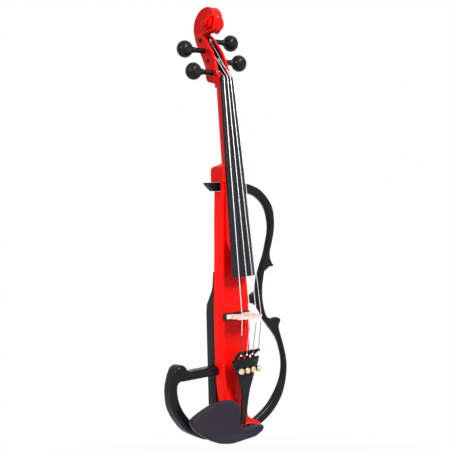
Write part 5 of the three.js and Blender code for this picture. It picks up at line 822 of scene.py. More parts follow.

# %% [markdown]
# The pegbox is a trough between two cheeks, which narrow upwards to the throat of the scroll. Rings of one kind
# draw outside and trough together: the points of the trough lie flat on the front where the box is solid, and sink
# where it is open. Cutting the trough with a Boolean would be quicker to write, but its edges would be harder to
# round. Each point keeps how deep in the trough it lies, for the painted shade that darkens the trough's colour.

# %% Pegbox
BOX_BASE, BOX_LENGTH, BOX_LEAN, BOX_HALF, BOX_DEPTH = NUT_HEIGHT - 8.64, 78.0, 39.0, 12.3, 22.0
BOX_SETBACK, NUT_SEAT = 2.34, 0.1736
BOX_FRONT = float(board_under(NUT_HEIGHT)) + GLUE_LINE + BOX_SETBACK
CHEEK, BOX_FLOOR, TROUGH_END = 4.4, 5.0, 3.0
box_shares = [(0, 0, 0.6, 0.95), (0.07, 0, 0.63, 0.96), (0.088, 0, 0.85, 0.97), (0.105, 0, 1.05, 0.98),
              (0.135, 0, 1.2, 0.99), (0.18, 0, 1.23, 1), (0.25, 0.06, 1.15, 1), (0.37, 0.13, 1.06, 0.98),
              (0.474, 0.2, 1.11, 0.955), (0.63, 0.345, 1.16, 0.92), (0.705, 0.45, 1.136, 0.9),
              (0.82, 0.635, 1.07, 0.87), (0.897, 0.758, 0.986, 0.84), (0.974, 0.905, 0.864, 0.72),
              (1, 0.975, 0.795, 0.6)]
TROUGH = (0.172, 0.945)


def box_section(share):
    """Front, back and half width of the pegbox at a share of its length. Under the nut the front reaches forward
    to the nut's seat, and above it a smooth step leads back to the cheeks."""
    lean, depth, width = follow(box_shares, share).T
    cheek = BOX_FRONT + BOX_LEAN * lean
    t = np.clip((np.asarray(share) - NUT_SEAT) / (0.4 * NUT_SEAT), 0, 1)
    return cheek - BOX_SETBACK * (1 - t * t * (3 - 2 * t)), cheek + BOX_DEPTH * depth, BOX_HALF * width


share = np.unique(np.concatenate((np.linspace(0, 1, 70), TROUGH[0] + np.linspace(0, 0.05, 9),
                                  TROUGH[1] - np.linspace(0, 0.05, 9))))
front, back, half = box_section(share)
heights = BOX_BASE + BOX_LENGTH * share
outside = rounded(half, front, back, 1.2, np.interp(share, (0, 0.07, 0.12, 0.2), (8.5, 8.5, 5, 2.4)), heights, 6)
from_end = np.clip(np.minimum(share - TROUGH[0], TROUGH[1] - share) * BOX_LENGTH / TROUGH_END, 0, 1)
open_share = np.sqrt(1 - (1 - from_end)**2)[:, None]
inner = (half - CHEEK * np.minimum(1, half / BOX_HALF))[:, None]
fall = ((back - BOX_FLOOR) - front)[:, None] * open_share
walk = np.linspace(0, 1, 18)[None]
wall_share = 1 - np.clip(np.minimum(walk, 1 - walk) / 0.32, 0, 1)
sunk_x = np.sign(walk - 0.5) * inner * (1 - (1 - wall_share) ** 6 * 0.12) * np.clip(np.abs(walk - 0.5) / 0.18, 0, 1)
flat_x = (2 * walk - 1) * (half[:, None] - 1.3)
x = flat_x + (sunk_x - flat_x) * open_share
y = front[:, None] + fall * (1 - wall_share ** 3)
trough = np.stack((x, y, np.broadcast_to(heights[:, None], x.shape)), -1)
corner = 3 * 6
pegbox = sew(np.concatenate((outside[:, :corner], trough, outside[:, corner:]), axis=1))
# How deep each point lies in the trough: this drives the painted shade in the neck's lacquer.
depth_inside = np.zeros((len(share), outside.shape[1] + trough.shape[1]))
depth_inside[:, corner:corner + trough.shape[1]] = y - front[:, None]
pegbox = (*pegbox[:2], np.append(depth_inside.ravel(), (0, 0)))
print("pegbox trough:", round(float(depth_inside.max()), 1), "mm deep")

# %% [markdown]
# The scroll is a strip that winds three times round its eye while it gets wider, like a ribbon rolled on a cone. One
# section in a plane through the eye's axis shows it all: a rim with two flutes and a spine between them, a narrow
# flat lip, and a hollow side that sinks towards the next turn. Sweeping that section round while the table draws
# its radius in and its width out gives the volute. A Screw modifier can wind a section too, but it can't change it on
# the way.

# %% Scroll
EYE = np.array((0.0, 34.5, 564.8))
EYE_HALF, SCROLL_RADIUS, START = 17.4, 35.8, math.radians(-50)
volute_shares = [(-0.7, 1.01, 0.43), (0, 0.965, 0.375), (0.5, 0.79, 0.385), (0.85, 0.68, 0.395), (1, 0.64, 0.4),
                 (1.5, 0.475, 0.425), (2, 0.35, 0.46), (2.5, 0.34, 0.5), (3, 0.365, 0.55), (3.5, 0.375, 0.6),
                 (4, 0.365, 0.64), (5, 0.31, 0.71), (6, 0.25, 0.775), (7, 0.21, 0.83), (8, 0.18, 0.88),
                 (9, 0.16, 0.93), (10, 0.14, 0.965), (12, 0.118, 0.985), (16, 0.1, 0.985)]


def volute(angle):
    """Rim radius and half width of the volute at an angle from the back."""
    rim, half = follow(volute_shares, angle / (np.pi / 2)).T
    return SCROLL_RADIUS * rim, EYE_HALF * half


angle = START + np.linspace(0, 3 * 2 * np.pi, 3 * 100)
rim, half = volute(angle)
next_rim = volute(angle + 2 * np.pi)[0]
across = np.linspace(1, -1, 33)[None]
flute = 0.9 * np.abs(np.sin(np.pi * across)) ** 0.8 * np.clip(rim / 12, 0.5, 1)[:, None]
rim_x = across * (half - 0.65)[:, None]
rim_r = rim[:, None] - flute
foot = np.minimum(next_rim, rim * 0.86) - 0.8
sink = np.linspace(0, 1, 9)[None, 1:]
hollow = (np.minimum(2.0, (rim - foot) * 0.28))[:, None] * np.sin(np.pi * np.clip(sink * 0.62, 0, 1))
side_r = (rim - 1.3)[:, None] + (foot - rim + 1.3)[:, None] * sink
side_x = half[:, None] - hollow
lip_r, lip_x = (rim - 1.1)[:, None], half[:, None]
edge_r, edge_x = (rim - 0.3)[:, None], (half - 0.18)[:, None]
x = np.concatenate((side_x[:, ::-1], lip_x, edge_x, rim_x, -edge_x, -lip_x, -side_x), axis=1)
r = np.concatenate((side_r[:, ::-1], lip_r, edge_r, rim_r, edge_r, lip_r, side_r), axis=1)
scroll_rings = EYE + np.stack((x, r * np.cos(angle)[:, None], r * np.sin(angle)[:, None]), -1)
scroll = sew(scroll_rings)
eye_end = [(0.01, 17.3), (2.1, 17.3), (3.2, 17.1), (3.9, 16.5), (4.2, 15.7)]
eye = turned([(r, -h) for r, h in eye_end] + eye_end[::-1], EYE, (1, 0, 0), 40)
piece("neck_and_scroll", [neck, heel, neck_foot, root, pegbox, scroll, eye], neck_lacquer,
      instead=["neck_scroll"], crease=32)

# %% [markdown]
# The arms are bent bars of black lacquered wood that draw the outline of a violin in the air. Each is cut along a
# line of named places, smooth between the pointed corners. The edges are rounded, but a rounding can be no larger than
# the wood: at each point of the outline it is held to a share of the largest circle that fits inside there, so that
# the corners run out in a sharp point. A Bevel modifier would hold its width everywhere to what the tips allow.

# %% Outlines of the arms
def room_inside(outline):
    """Radius of the largest circle that touches the outline in each point from inside. For a point p with inward
    normal n, the circle through another point q has the radius |q - p|^2 / (2 (q - p) . n)."""
    way = np.roll(outline, -1, axis=0) - np.roll(outline, 1, axis=0)
    way /= np.linalg.norm(way, axis=1)[:, None]
    normal = np.stack((-way[:, 1], way[:, 0]), -1)
    offset = outline[None] - outline[:, None]
    height = np.einsum("ijk,ik->ij", offset, normal)
    radius = np.where(height > 1e-6, (offset**2).sum(-1) / np.maximum(2 * height, 1e-6), 1e9)
    return radius.min(axis=1)


def bar(outline, front, back, rounding, steps=7, share=0.72):
    """A bar cut along a line in X and Z, with quarter-round edges as large as the room inside allows: towards each
    face the outline moves inwards by radius * (1 - sin) while it has radius * (1 - cos) still to go."""
    outline = np.asarray(outline, float)
    area = np.sum(outline[:, 0] * np.roll(outline[:, 1], -1) - np.roll(outline[:, 0], -1) * outline[:, 1])
    outline = outline if area > 0 else outline[::-1]
    way = np.roll(outline, -1, axis=0) - outline
    way /= np.linalg.norm(way, axis=1)[:, None]
    normal = np.stack((-way[:, 1], way[:, 0]), -1)
    inwards = normal + np.roll(normal, 1, axis=0)
    inwards /= np.maximum((inwards**2).sum(-1), 0.5)[:, None] / 2
    radius = np.minimum(rounding, room_inside(outline) * share)
    radius = (np.roll(radius, 1) + 2 * radius + np.roll(radius, -1)) / 4
    turn = np.linspace(0, np.pi / 2, steps)
    inset = radius[None] * (1 - np.sin(turn))[:, None]
    drop = radius[None] * (1 - np.cos(turn))[:, None]
    inset, depth = np.concatenate((inset, inset[::-1])), np.concatenate((front + drop, (back - drop)[::-1]))
    flat = outline[None] + inset[..., None] * inwards[None]
    return sew(np.stack((flat[..., 0], depth, flat[..., 1]), -1), flat_ends=True)


def places(shares, across, up, narrow=0.0):
    """Named places as shares: across from the narrow to the wide size, and up from the bottom."""
    table = np.asarray(shares, float)
    return np.stack((narrow + (across - narrow) * table[:, 0], up * table[:, 1]), -1)


def body_side(low, high, inset, side, steps=12):
    """The body's side line from one height to another, a little inside the body."""
    height = np.linspace(low, high, steps)
    return np.stack((side * (body_half(height) - inset), height), -1)


UPPER, LOWER, WAIST, LEFT = 86.0, 105.0, 60.5, 107.0
outer_upper = np.concatenate((
    places([(0.2, 1.034), (0.43, 1.029), (0.674, 1.007), (0.85, 0.97), (0.965, 0.928), (1.003, 0.877), (0.995, 0.826)],
           UPPER, BODY_LENGTH),
    places([(0.808, 0.775), (0.639, 0.735), (0.646, 0.707), (0.764, 0.686), (0.848, 0.6765)],
           UPPER, BODY_LENGTH, WAIST)))
upper_tip = places([(0.835, 0.672), (0.781, 0.6695), (0.578, 0.669)], UPPER, BODY_LENGTH, WAIST)
outer_waist = places([(1.075, 0.651), (1.035, 0.622), (0.998, 0.583), (0.995, 0.533), (1.055, 0.479), (1.13, 0.452)],
                     WAIST, BODY_LENGTH)
lower_tip = places([(0.363, 0.441), (0.528, 0.4455), (0.646, 0.444), (0.736, 0.437), (0.752, 0.4295)],
                   LOWER, BODY_LENGTH, WAIST)
outer_lower = places([(0.866, 0.41), (0.872, 0.39), (0.925, 0.34), (0.983, 0.275), (1.0012, 0.224), (0.967, 0.155),
                      (0.883, 0.094), (0.72, 0.038), (0.51, -0.0015), (0.4, -0.006), (0.376, -0.0065)],
                     LOWER, BODY_LENGTH)
inner = np.concatenate((
    places([(0.37, 0.0245), (0.4, 0.0255), (0.63, 0.067), (0.8, 0.124), (0.902, 0.182), (0.93, 0.243), (0.898, 0.304),
            (0.825, 0.357)], LOWER, BODY_LENGTH),
    places([(0.2685, 0.409), (0.056, 0.443), (-0.055, 0.472)], LOWER, BODY_LENGTH, WAIST),
    places([(0.835, 0.508), (0.823, 0.57), (0.86, 0.623)], WAIST, BODY_LENGTH),
    places([(-0.059, 0.675), (0.237, 0.724)], UPPER, BODY_LENGTH, WAIST),
    places([(0.835, 0.774), (0.885, 0.827), (0.875, 0.877), (0.805, 0.928), (0.65, 0.967), (0.46, 0.987), (0.2, 0.992)],
           UPPER, BODY_LENGTH)))
right_outline = np.concatenate((spline(outer_upper, 8), upper_tip, spline(outer_waist, 8), spline(lower_tip, 5),
                                spline(outer_lower, 8), spline(inner, 8)))
print("right arm outline:", len(right_outline), "points")

# %% [markdown]
# On the treble side one bow runs from the neck over two pointed corners down to the foot. A short bracket, flared at
# its far end, ties its waist to the body. It is a second bar that reaches a little into the first, so neither
# outline has to go round the other.

# %% Right arm with its bracket
FRAME_FRONT, FRAME_BACK = 9.0, 17.92
bow = bar(right_outline, FRAME_FRONT, FRAME_BACK, 2.6)
BRACKET_LOW, BRACKET_HIGH, FLARE = 173.0, 185.0, 5.4
BRACKET_INTO_BODY, BRACKET_INTO_BOW, BOW_INSIDE = 1.2, 1.8, 0.835
near = float(body_half((BRACKET_LOW + BRACKET_HIGH) / 2)[0]) - BRACKET_INTO_BODY
away = WAIST * BOW_INSIDE + BRACKET_INTO_BOW
middle = (near + away) / 2
bracket_line = np.concatenate((spline([(near, BRACKET_LOW), (middle, BRACKET_LOW), (away, BRACKET_LOW - FLARE)], 8),
                               spline([(away, BRACKET_HIGH + FLARE), (middle, BRACKET_HIGH), (near, BRACKET_HIGH)], 8)))
bracket = bar(bracket_line, FRAME_FRONT + 0.04, FRAME_BACK - 0.04, 1.2)
piece("right_arm_lacquered", [bow, bracket], black_lacquer, instead=["right_arm"], crease=50)

# %% [markdown]
# On the bass side a straight strut ends in a round shoulder, from which a deeper bow curves down to the foot. The
# shoulder is an arc, the strut two straight lines, and the bow two smooth lines through named places: all of them
# follow one another in one outline.

# %% Left arm with its strut and round shoulder
STRUT_LOW, STRUT_HIGH = 80.0, 92.0
SHOULDER, LEFT_ARM_BACK, STRUT_INTO_BODY = 11.4, 28.45, 0.3
turn = np.linspace(0.08 * np.pi, 0.86 * np.pi, 20)
shoulder_middle = np.array((-LEFT + SHOULDER * 1.55, STRUT_HIGH - 0.72))
shoulder = shoulder_middle + SHOULDER * np.stack((np.cos(turn), np.sin(turn)), -1)
left_outer = places([(-0.959, 0.868), (-0.9925, 0.749), (-1.0025, 0.633), (-0.987, 0.478), (-0.937, 0.351),
                     (-0.861, 0.234), (-0.76, 0.115), (-0.64, 0.036), (-0.4785, -0.045), (-0.385, -0.049)],
                    LEFT, STRUT_HIGH + SHOULDER)
left_inner = places([(-0.345, 0.106), (-0.45, 0.115), (-0.58, 0.165), (-0.695, 0.243), (-0.744, 0.303),
                     (-0.811, 0.392), (-0.868, 0.512), (-0.894, 0.635), (-0.891, 0.734), (-0.849, 0.778)],
                    LEFT, STRUT_HIGH + SHOULDER)
near = -float(body_half((STRUT_LOW + STRUT_HIGH) / 2)[0]) + STRUT_INTO_BODY
left_outline = np.concatenate(([(near, STRUT_LOW)], [(near, STRUT_HIGH)],
                               np.linspace((near - 8, STRUT_HIGH), (-71, STRUT_HIGH), 8), shoulder,
                               spline(left_outer, 8), body_side(0.3, 9.6, 0.5, -1), spline(left_inner, 8),
                               np.linspace((-85.6, STRUT_LOW), (near - 8, STRUT_LOW), 9)))
piece("left_arm_lacquered", [bar(left_outline, FRAME_FRONT, LEFT_ARM_BACK, 4.2, 9)], black_lacquer,
      instead=["left_arm"], crease=50)

# %% [markdown]
# A peg is turned: a tapered shaft that goes through both cheeks, a collar, and a round head that is dished on two
# sides for finger and thumb. The head is a ball whose two flats are hollowed: where |y| is large, the ball's surface
# gives way to the inside of a second ball. Both surfaces have a formula, so no Boolean is needed and the rim between
# them can be soft.

# %% Pegs
PEG_ORDER = {"g": -0.12, "e": 1.02, "d": 1.96, "a": 3}
PEG_SIDE = {"g": -1, "e": 1, "d": -1, "a": 1}
HEAD, HEAD_HALF, HEAD_PLACE = 11.8, 10.25, 45.3
DISH, DISH_RIM, NO_FURTHER = 1.3, 0.5, 8.0
PEG_SHAFT = 3.7
FIRST_PEG_BACK, FIRST_PEG_UP = 12.55, 22.34
PEG_STEP_BACK, PEG_STEP_UP = 0.2192, 15.4


def peg_place(name):
    """Where a peg crosses the middle of the pegbox: the first place and so many steps up the leaning box."""
    order = PEG_ORDER[name]
    return np.array((0.0, BOX_FRONT + FIRST_PEG_BACK + PEG_STEP_BACK * BOX_LEAN * order,
                     BOX_BASE + FIRST_PEG_UP + PEG_STEP_UP * order))


def rounded_profile(corners, radius, steps=5):
    """A turned profile through corners (r, h) whose inner corners are replaced by short curves: the quadratic from a
    point before the corner, towards the corner, to a point after it."""
    corners = np.asarray(corners, float)
    rows = [corners[:1]]
    for before, here, after in zip(corners[:-2], corners[1:-1], corners[2:]):
        back, ahead = before - here, after - here
        reach = min(radius, 0.45 * np.linalg.norm(back), 0.45 * np.linalg.norm(ahead))
        a = here + back / np.linalg.norm(back) * reach
        b = here + ahead / np.linalg.norm(ahead) * reach
        t = np.linspace(0, 1, steps)[:, None]
        rows.append((1 - t)**2 * a + 2 * t * (1 - t) * here + t**2 * b)
    return np.concatenate(rows + [corners[-1:]])


def peg_head(centre, side):
    """A ball squeezed in Y. On both faces the smaller of two depths counts, the ball's own and that of a round dish,
    and a logarithm of a sum of exponentials blends them into a soft rim."""
    u, v = np.meshgrid(np.linspace(0, np.pi, 41), np.linspace(0, 2 * np.pi, 64, endpoint=False), indexing="ij")
    x, y, z = HEAD * np.sin(u) * np.cos(v), HEAD_HALF * np.cos(u), HEAD * np.sin(u) * np.sin(v)
    dish = HEAD_HALF + HEAD - DISH - np.sqrt(np.maximum(HEAD**2 - x**2 - z**2, 0))
    limit = (np.abs(y) - DISH_RIM * np.logaddexp(0, (np.abs(y) - dish) / DISH_RIM)
             + DISH_RIM * np.logaddexp(0, -NO_FURTHER / DISH_RIM))
    rings = centre + np.stack((side * x, np.sign(y) * limit, z), -1)
    return sew(rings[1:-1])


for name in "gdae":
    side, place = PEG_SIDE[name], peg_place(name)
    stem = rounded_profile([(0.01, -13.1), (2.4, -13.1), (3.0, -12.6), (PEG_SHAFT, 17.1), (PEG_SHAFT, 28.7),
                            (4.3, 29.9), (4.3, 32.2), (3.1, 33.5), (3.0, 44), (0.01, 44)], 0.8)
    head = peg_head(place + (side * HEAD_PLACE, 0, 0), side)
    piece(f"peg_{name}_turned", [turned(stem, place, (side, 0, 0), 40), head], peg_wood, body=f"peg_{name}",
          instead=[f"peg_{name}"])

# %% [markdown]
# Each string runs from its hook on the tailpiece over the bridge and the nut to its peg, where it winds two and a half
# times round the shaft. The lower strings are wound with fine wire, the top one is plain. The ball end wears a sleeve
# of silk. A curve with a bevel could draw the tube, but its points would still have to leave the nut along the tangent
# of the peg. Two angles give that: the way to the peg, and the arcsine of the shaft's radius over the distance.

# %% Strings
SILK_LENGTH = {"g": 27.0, "d": 44.0, "a": 44.0, "e": 44.0}
STRING_RADIUS = {"g": 0.50, "d": 0.48, "a": 0.45, "e": 0.4}
WINDING_START = {"g": 3.3, "d": 2.7, "a": 2.7, "e": 3.3}
CREST, CREST_RADIUS, BRIDGE_HEIGHT = 36.0, 42.0, 161.0
TAILPIECE_TOP, TAILPIECE_END = 104.5, 11.5
APART_AT_TAILPIECE, APART_AT_BRIDGE, APART_AT_NUT = 10.4, 11.6, 5.5
HOOK_FRONT, HOOK_ABOVE_TOP = -26.4, 5.5
BALL, BALL_TO_STRING, STRING_GAP = 1.4, 1.2, 0.3
TURNS_ON_PEG, TURN_WIDTH = 2.5, 1.25
SILK_THICKNESS = 0.12

for index, name in enumerate("gdae"):
    side, place, thin = PEG_SIDE[name], peg_place(name), STRING_RADIUS[name]
    off = index - 1.5
    bridge_x, nut_x = off * APART_AT_BRIDGE, off * APART_AT_NUT
    end = np.array((off * APART_AT_TAILPIECE, HOOK_FRONT, TAILPIECE_TOP + HOOK_ABOVE_TOP))
    over_bridge = np.array((bridge_x, -(CREST - arch_fall(CREST_RADIUS, bridge_x)) - thin - 0.08, BRIDGE_HEIGHT))
    over_nut = np.array((nut_x, NUT_TOP + arch_fall(ARCH, nut_x) - thin - STRING_GAP,
                         NUT_HEIGHT + NUT_LENGTH + STRING_GAP))
    round_peg = PEG_SHAFT + thin + STRING_GAP
    to_y, to_z = (place - over_nut)[1:]
    touch = math.atan2(to_z, to_y) + math.asin(round_peg / math.hypot(to_y, to_z)) + np.pi / 2
    turns = np.linspace(0, TURNS_ON_PEG, 121)
    winding = np.stack((side * (WINDING_START[name] + TURN_WIDTH * turns),
                        place[1] + round_peg * np.cos(touch - 2 * np.pi * turns),
                        place[2] + round_peg * np.sin(touch - 2 * np.pi * turns)), -1)
    way = (over_bridge - end) / np.linalg.norm(over_bridge - end)
    start = end + BALL_TO_STRING * way
    line = np.concatenate((np.linspace(start, over_bridge, 12)[:-1], np.linspace(over_bridge, over_nut, 40)[:-1],
                           np.linspace(over_nut, winding[0], 10)[:-1], winding))
    ball = turned([(BALL * math.sin(a) + 0.01, -BALL * math.cos(a)) for a in np.linspace(0, np.pi, 13)], end, way, 24)
    finish = plain_string if name == "e" else wound_string
    piece(f"string_{name}_steel", [swept(line, thin, 12), ball], finish, instead=[f"string_{name}"], crease=60)
    wrapped = np.linspace(start, start + SILK_LENGTH[name] * way, 10)
    swell = thin + SILK_THICKNESS * np.array((0.4, 1, 1, 1, 1, 1, 1, 0.8, 0.4, 0.05))
    piece(f"silk_{name}", [swept(wrapped, swell, 14)], string_silk[name], crease=60)
    print(f"string_{name}:", round(float(np.linalg.norm(np.diff(line, axis=0), axis=1).sum())), "mm long")

# %% [markdown]
# The tailpiece is one moulding: an arched plate, wide where the strings are hooked and narrow at the gut, with a small
# ridge that the strings cross. It is drawn as rings again, with the arch in front, the hollow behind and a
# round edge. Two ears behind it hold the axle of the tuners. They are bars whose outline shrinks a little at both
# faces, which breaks their edges.

# %% Tailpiece
TAIL_HALF, TAIL_ARCH = 23.5, 66.0
TAIL_FRONT_AT_TOP, TAIL_RUN_BACK = -24.5, 24.5 - 10.5
EAR_SHARE, EAR_HALF, EAR_EDGE = 0.9, 1.2, 0.3
AXLE_BACK, AXLE_HEIGHT = -15.423, 100.0
tail_shares = [(0, 1), (0.08, 0.97), (0.19, 0.79), (0.26, 0.62), (0.35, 0.51), (0.45, 0.37), (0.58, 0.285),
               (0.7, 0.25), (0.85, 0.215), (1, 0.205)]


def tail_front(height):
    """Y of the crown of the plate's arch: a straight line from the top to the end."""
    share = (TAILPIECE_TOP - np.asarray(height, float)) / (TAILPIECE_TOP - TAILPIECE_END)
    return TAIL_FRONT_AT_TOP + share * TAIL_RUN_BACK


def tail_rings(heights, half, rise, depth, edge, ease=0.7):
    """Rings with an arched front and back. The back falls from the depth in the middle to the edge's thickness with the
    cube of the share, and a quarter circle of the ease rounds both where they meet."""
    heights, half, rise = (np.broadcast_to(np.atleast_1d(np.asarray(v, float))[:, None], (len(heights), 1))
                           for v in (heights, half, rise))
    share = np.linspace(-1, 1, 31)[None]
    past_edge = np.clip(np.abs(share) * half - (half - ease), 0, ease) / ease
    round_off = 1 - np.sqrt(np.clip(1 - past_edge**2, 0, 1))
    x = share * half
    arch = arch_fall(TAIL_ARCH, x)
    front = tail_front(heights) - rise + arch + round_off * ease
    back = tail_front(heights) + edge + (depth - edge) * (1 - np.abs(share)**3) + arch - round_off * ease
    ring_x = np.concatenate((x, x[:, ::-1]), axis=1)
    ring_y = np.concatenate((front, back[:, ::-1]), axis=1)
    return np.stack((ring_x, ring_y, np.broadcast_to(heights, ring_x.shape)), -1)


heights = np.linspace(TAILPIECE_TOP, TAILPIECE_END, 60)
share = (TAILPIECE_TOP - heights) / (TAILPIECE_TOP - TAILPIECE_END)
plate_rings = tail_rings(heights, TAIL_HALF * follow(tail_shares, share)[:, 0], 0, 3.6, 2.2)
heights = TAILPIECE_TOP - 2.4 * np.array((1.6, 1.5, 1.38, 1.25, 1.1, 0.8, 0.7, 0.6))
ridge_rings = tail_rings(heights, 22.1, 1.3 * np.array((0.05, 0.5, 0.85, 1, 1, 1, 0.85, 0.4)), 2.2, 2.2, 0.4)
inset = np.array((EAR_EDGE, 0.0, 0.0, EAR_EDGE))[:, None, None]
across = np.array((-EAR_HALF, -0.9, 0.9, EAR_HALF))[:, None]
turn = np.linspace(-np.pi / 2, np.pi / 2, 14)
ears = []
for side in (-1, 1):
    x = side * (TAIL_HALF * EAR_SHARE - EAR_HALF)
    top = float(tail_front(AXLE_HEIGHT)) + 2.6 + float(arch_fall(TAIL_ARCH, x))
    round_axle = np.stack((AXLE_BACK + 2.4 * np.cos(turn), AXLE_HEIGHT + 3 * np.sin(turn)), -1)
    outline = np.concatenate(([(top, AXLE_HEIGHT - 3)], round_axle, [(top, AXLE_HEIGHT + 3)]))
    inwards = outline.mean(axis=0) - outline
    inwards /= np.linalg.norm(inwards, axis=1)[:, None]
    flat = outline[None] + inwards[None] * inset
    ear = np.stack((np.broadcast_to(x + across, flat.shape[:2]), flat[..., 0], flat[..., 1]), -1)
    ears.append(sew(ear, flat_ends=True))
piece("tailpiece_moulded", [sew(eased(plate_rings, 0.7)), sew(ridge_rings), *ears], satin_black,
      instead=["tailpiece"])

# %% [markdown]
# The thumb screws of the fine tuners are brass, plated gold. Their heads are knurled: in each ring the radius rises and
# falls 26 times. A bump could fake that, but the ridges show in the head's outline. The hooks and the axle are
# black-plated steel, and keep the CAD's shape with broken edges.

# %% Fine tuners
def knurled(profile, centre, axis, ridges, depth, sides=156):
    """A turned piece whose radius falls below the profile by depth * (1 - cos(ridges * angle)) / 2. The third number
    in each row is the share of the knurl's depth there."""
    profile = np.asarray(profile, float)
    angle = np.linspace(0, 2 * np.pi, sides, endpoint=False)
    radius = profile[:, :1] - depth * profile[:, 2:] * (0.5 - 0.5 * np.cos(ridges * angle))[None]
    axis = np.asarray(axis, float)
    side = np.cross(axis, (0, 0, 1.0))
    side /= np.linalg.norm(side)
    other = np.cross(axis, side)
    ring = np.cos(angle)[:, None] * side + np.sin(angle)[:, None] * other
    return sew(np.asarray(centre) + radius[..., None] * ring[None] + profile[:, 1, None, None] * axis)


SCREW_HEIGHT = TAILPIECE_TOP - 16
SCREW_FLOAT, KNURLS, KNURL_DEPTH = 2.4, 26, 0.34
under = float(tail_front(SCREW_HEIGHT)) - SCREW_FLOAT
for index, name in enumerate("gdae"):
    place = ((index - 1.5) * APART_AT_TAILPIECE, under, SCREW_HEIGHT)
    screw = [(0.01, -4.4, 0), (2.2, -4.4, 0), (3.3, -4.4, 0), (3.55, -4.36, 0), (3.9, -4.1, 0.4), (4.16, -3.7, 1),
             (4.2, -3.5, 1), (4.2, -0.9, 1), (4.16, -0.7, 1), (3.9, -0.35, 0.4), (3.4, 0, 0), (1.95, 0, 0),
             (1.95, 0.9, 0), (1.8, 1.0, 0), (1.3, 1.0, 0), (1.3, 8.6, 0), (0.8, 9.2, 0), (0.01, 9.25, 0)]
    piece(f"tuner_screw_{name}_knurled", [knurled(screw, place, (0, 1, 0), KNURLS, KNURL_DEPTH)], gold_plate,
          body=f"tuner_screw_{name}", instead=[f"tuner_screw_{name}"])
    broken_edges(f"tuner_lever_{name}", black_nickel, 0.22, body=f"tuner_lever_{name}")
broken_edges("tuner_axle", black_nickel, 0.2)

# %% [markdown]
# A loop of nylon holds the tailpiece. It comes out of the plate, bends over the ebony saddle and goes round the neck of
# the end button, which is turned from the same black wood as the pegs. One side is written down, and the other is the
# same with X turned round, so that the loop is even.

# %% Tailgut, end button and saddle
GUT_BACK = -10.5 + 1.8 - 0.36
GUT_HALF, GUT_RADIUS, LOOP_RADIUS, LOOP_HEIGHT, BUTTON_BACK = 2.6, 1.0, 4.9, -2.8, 9.0
run = np.array([(GUT_HALF, GUT_BACK, 17.5), (GUT_HALF, GUT_BACK, 11.5), (GUT_HALF, (GUT_BACK - 4.0) / 2, 6.67),
                (GUT_HALF, -4.0, 3.0), (GUT_HALF, -3.72, 0), (3.75, -1.4, -2.52), (4.557, 4.1, LOOP_HEIGHT)])
turn = np.linspace(0, np.pi, 7)
loop = np.stack((LOOP_RADIUS * np.cos(turn), BUTTON_BACK + LOOP_RADIUS * np.sin(turn), np.full(7, LOOP_HEIGHT)), -1)
gut_line = np.concatenate((run, loop, (run * (-1, 1, 1))[::-1]))
piece("tailgut_nylon", [swept(spline(gut_line, 8), GUT_RADIUS, 18)], nylon, instead=["tailgut"], crease=60)
button = rounded_profile([(0.01, -12), (4.2, -12), (6, -10.2), (6, -6.6), (3.6, -5), (3.6, -0.6), (3, -0.3), (2.7, 10),
                          (0.01, 10)], 1.1, 6)
piece("end_button_turned", [turned(button, (0, BUTTON_BACK, 0), (0, 0, 1), 48)], peg_wood, instead=["end_button"])
broken_edges("saddle", ebony, 0.5, segments=3)

# %% [markdown]
# A bridge is sawn from a thin plank: two feet, an arch between them, deep cuts at the waist, a heart in the middle
# and an arched crest. Blender fills a flat curve with holes by itself, so the outline and the heart are drawn as
# two lines of one curve, given a thickness and a small bevel, and turned into a mesh. Then the plank is thinned
# towards the crest.

# %% Bridge
BRIDGE_BASE, BRIDGE_HALF = -4.0, 20.5
FOOT_HALF_THICKNESS, CREST_HALF_THICKNESS = 3.1, 1.3
bridge_top = CREST + BRIDGE_BASE
place = np.array((BRIDGE_HALF, bridge_top))
arch_side = np.array([(0.0, 0.2), (0.1, 0.19), (0.26, 0.15), (0.34, 0.07), (0.42, 0.0)]) * place
waist_side = np.array([(1, 0.06), (0.86, 0.13), (0.79, 0.22), (0.83, 0.31), (0.94, 0.4), (0.9, 0.45), (0.66, 0.47),
                       (0.62, 0.53), (0.7, 0.59), (0.88, 0.6), (0.97, 0.7), (1.0, 0.77)]) * place
crest_x = np.linspace(21, -21, 40)
crest_line = np.stack((crest_x, CREST - arch_fall(CREST_RADIUS, crest_x) + BRIDGE_BASE), -1)
half_line = np.concatenate((spline(arch_side, 5), [(BRIDGE_HALF, 0.0)], spline(waist_side, 5)))
bridge_outline = np.concatenate((half_line, crest_line, (half_line * (-1, 1))[::-1][:-1]))
heart_side = spline(np.array([(0, 0.4), (0.13, 0.47), (0.15, 0.55), (0.08, 0.59), (0, 0.56)]) * place, 6)
heart = np.concatenate((heart_side, (heart_side * (-1, 1))[::-1][1:-1]))


def sawn(name, lines, half_thickness, bevel):
    """A plank from closed lines in X and Y, as a mesh: a filled flat curve with a thickness and a round bevel."""
    curve = bpy.data.curves.new(name, "CURVE")
    curve.dimensions = "2D"
    curve.fill_mode = "BOTH"
    curve.extrude, curve.bevel_depth, curve.bevel_resolution = half_thickness - bevel, bevel, 2
    curve.offset = -bevel
    for line in lines:
        part = curve.splines.new("POLY")
        part.points.add(len(line) - 1)
        flat_points = np.concatenate((line, np.zeros((len(line), 1)), np.ones((len(line), 1))), 1)
        part.points.foreach_set("co", flat_points.ravel())
        part.use_cyclic_u = True
    holder = bpy.data.objects.new(name, curve)
    bpy.context.scene.collection.objects.link(holder)
    mesh = bpy.data.meshes.new_from_object(holder.evaluated_get(bpy.context.evaluated_depsgraph_get()))
    bpy.data.objects.remove(holder)
    return mesh


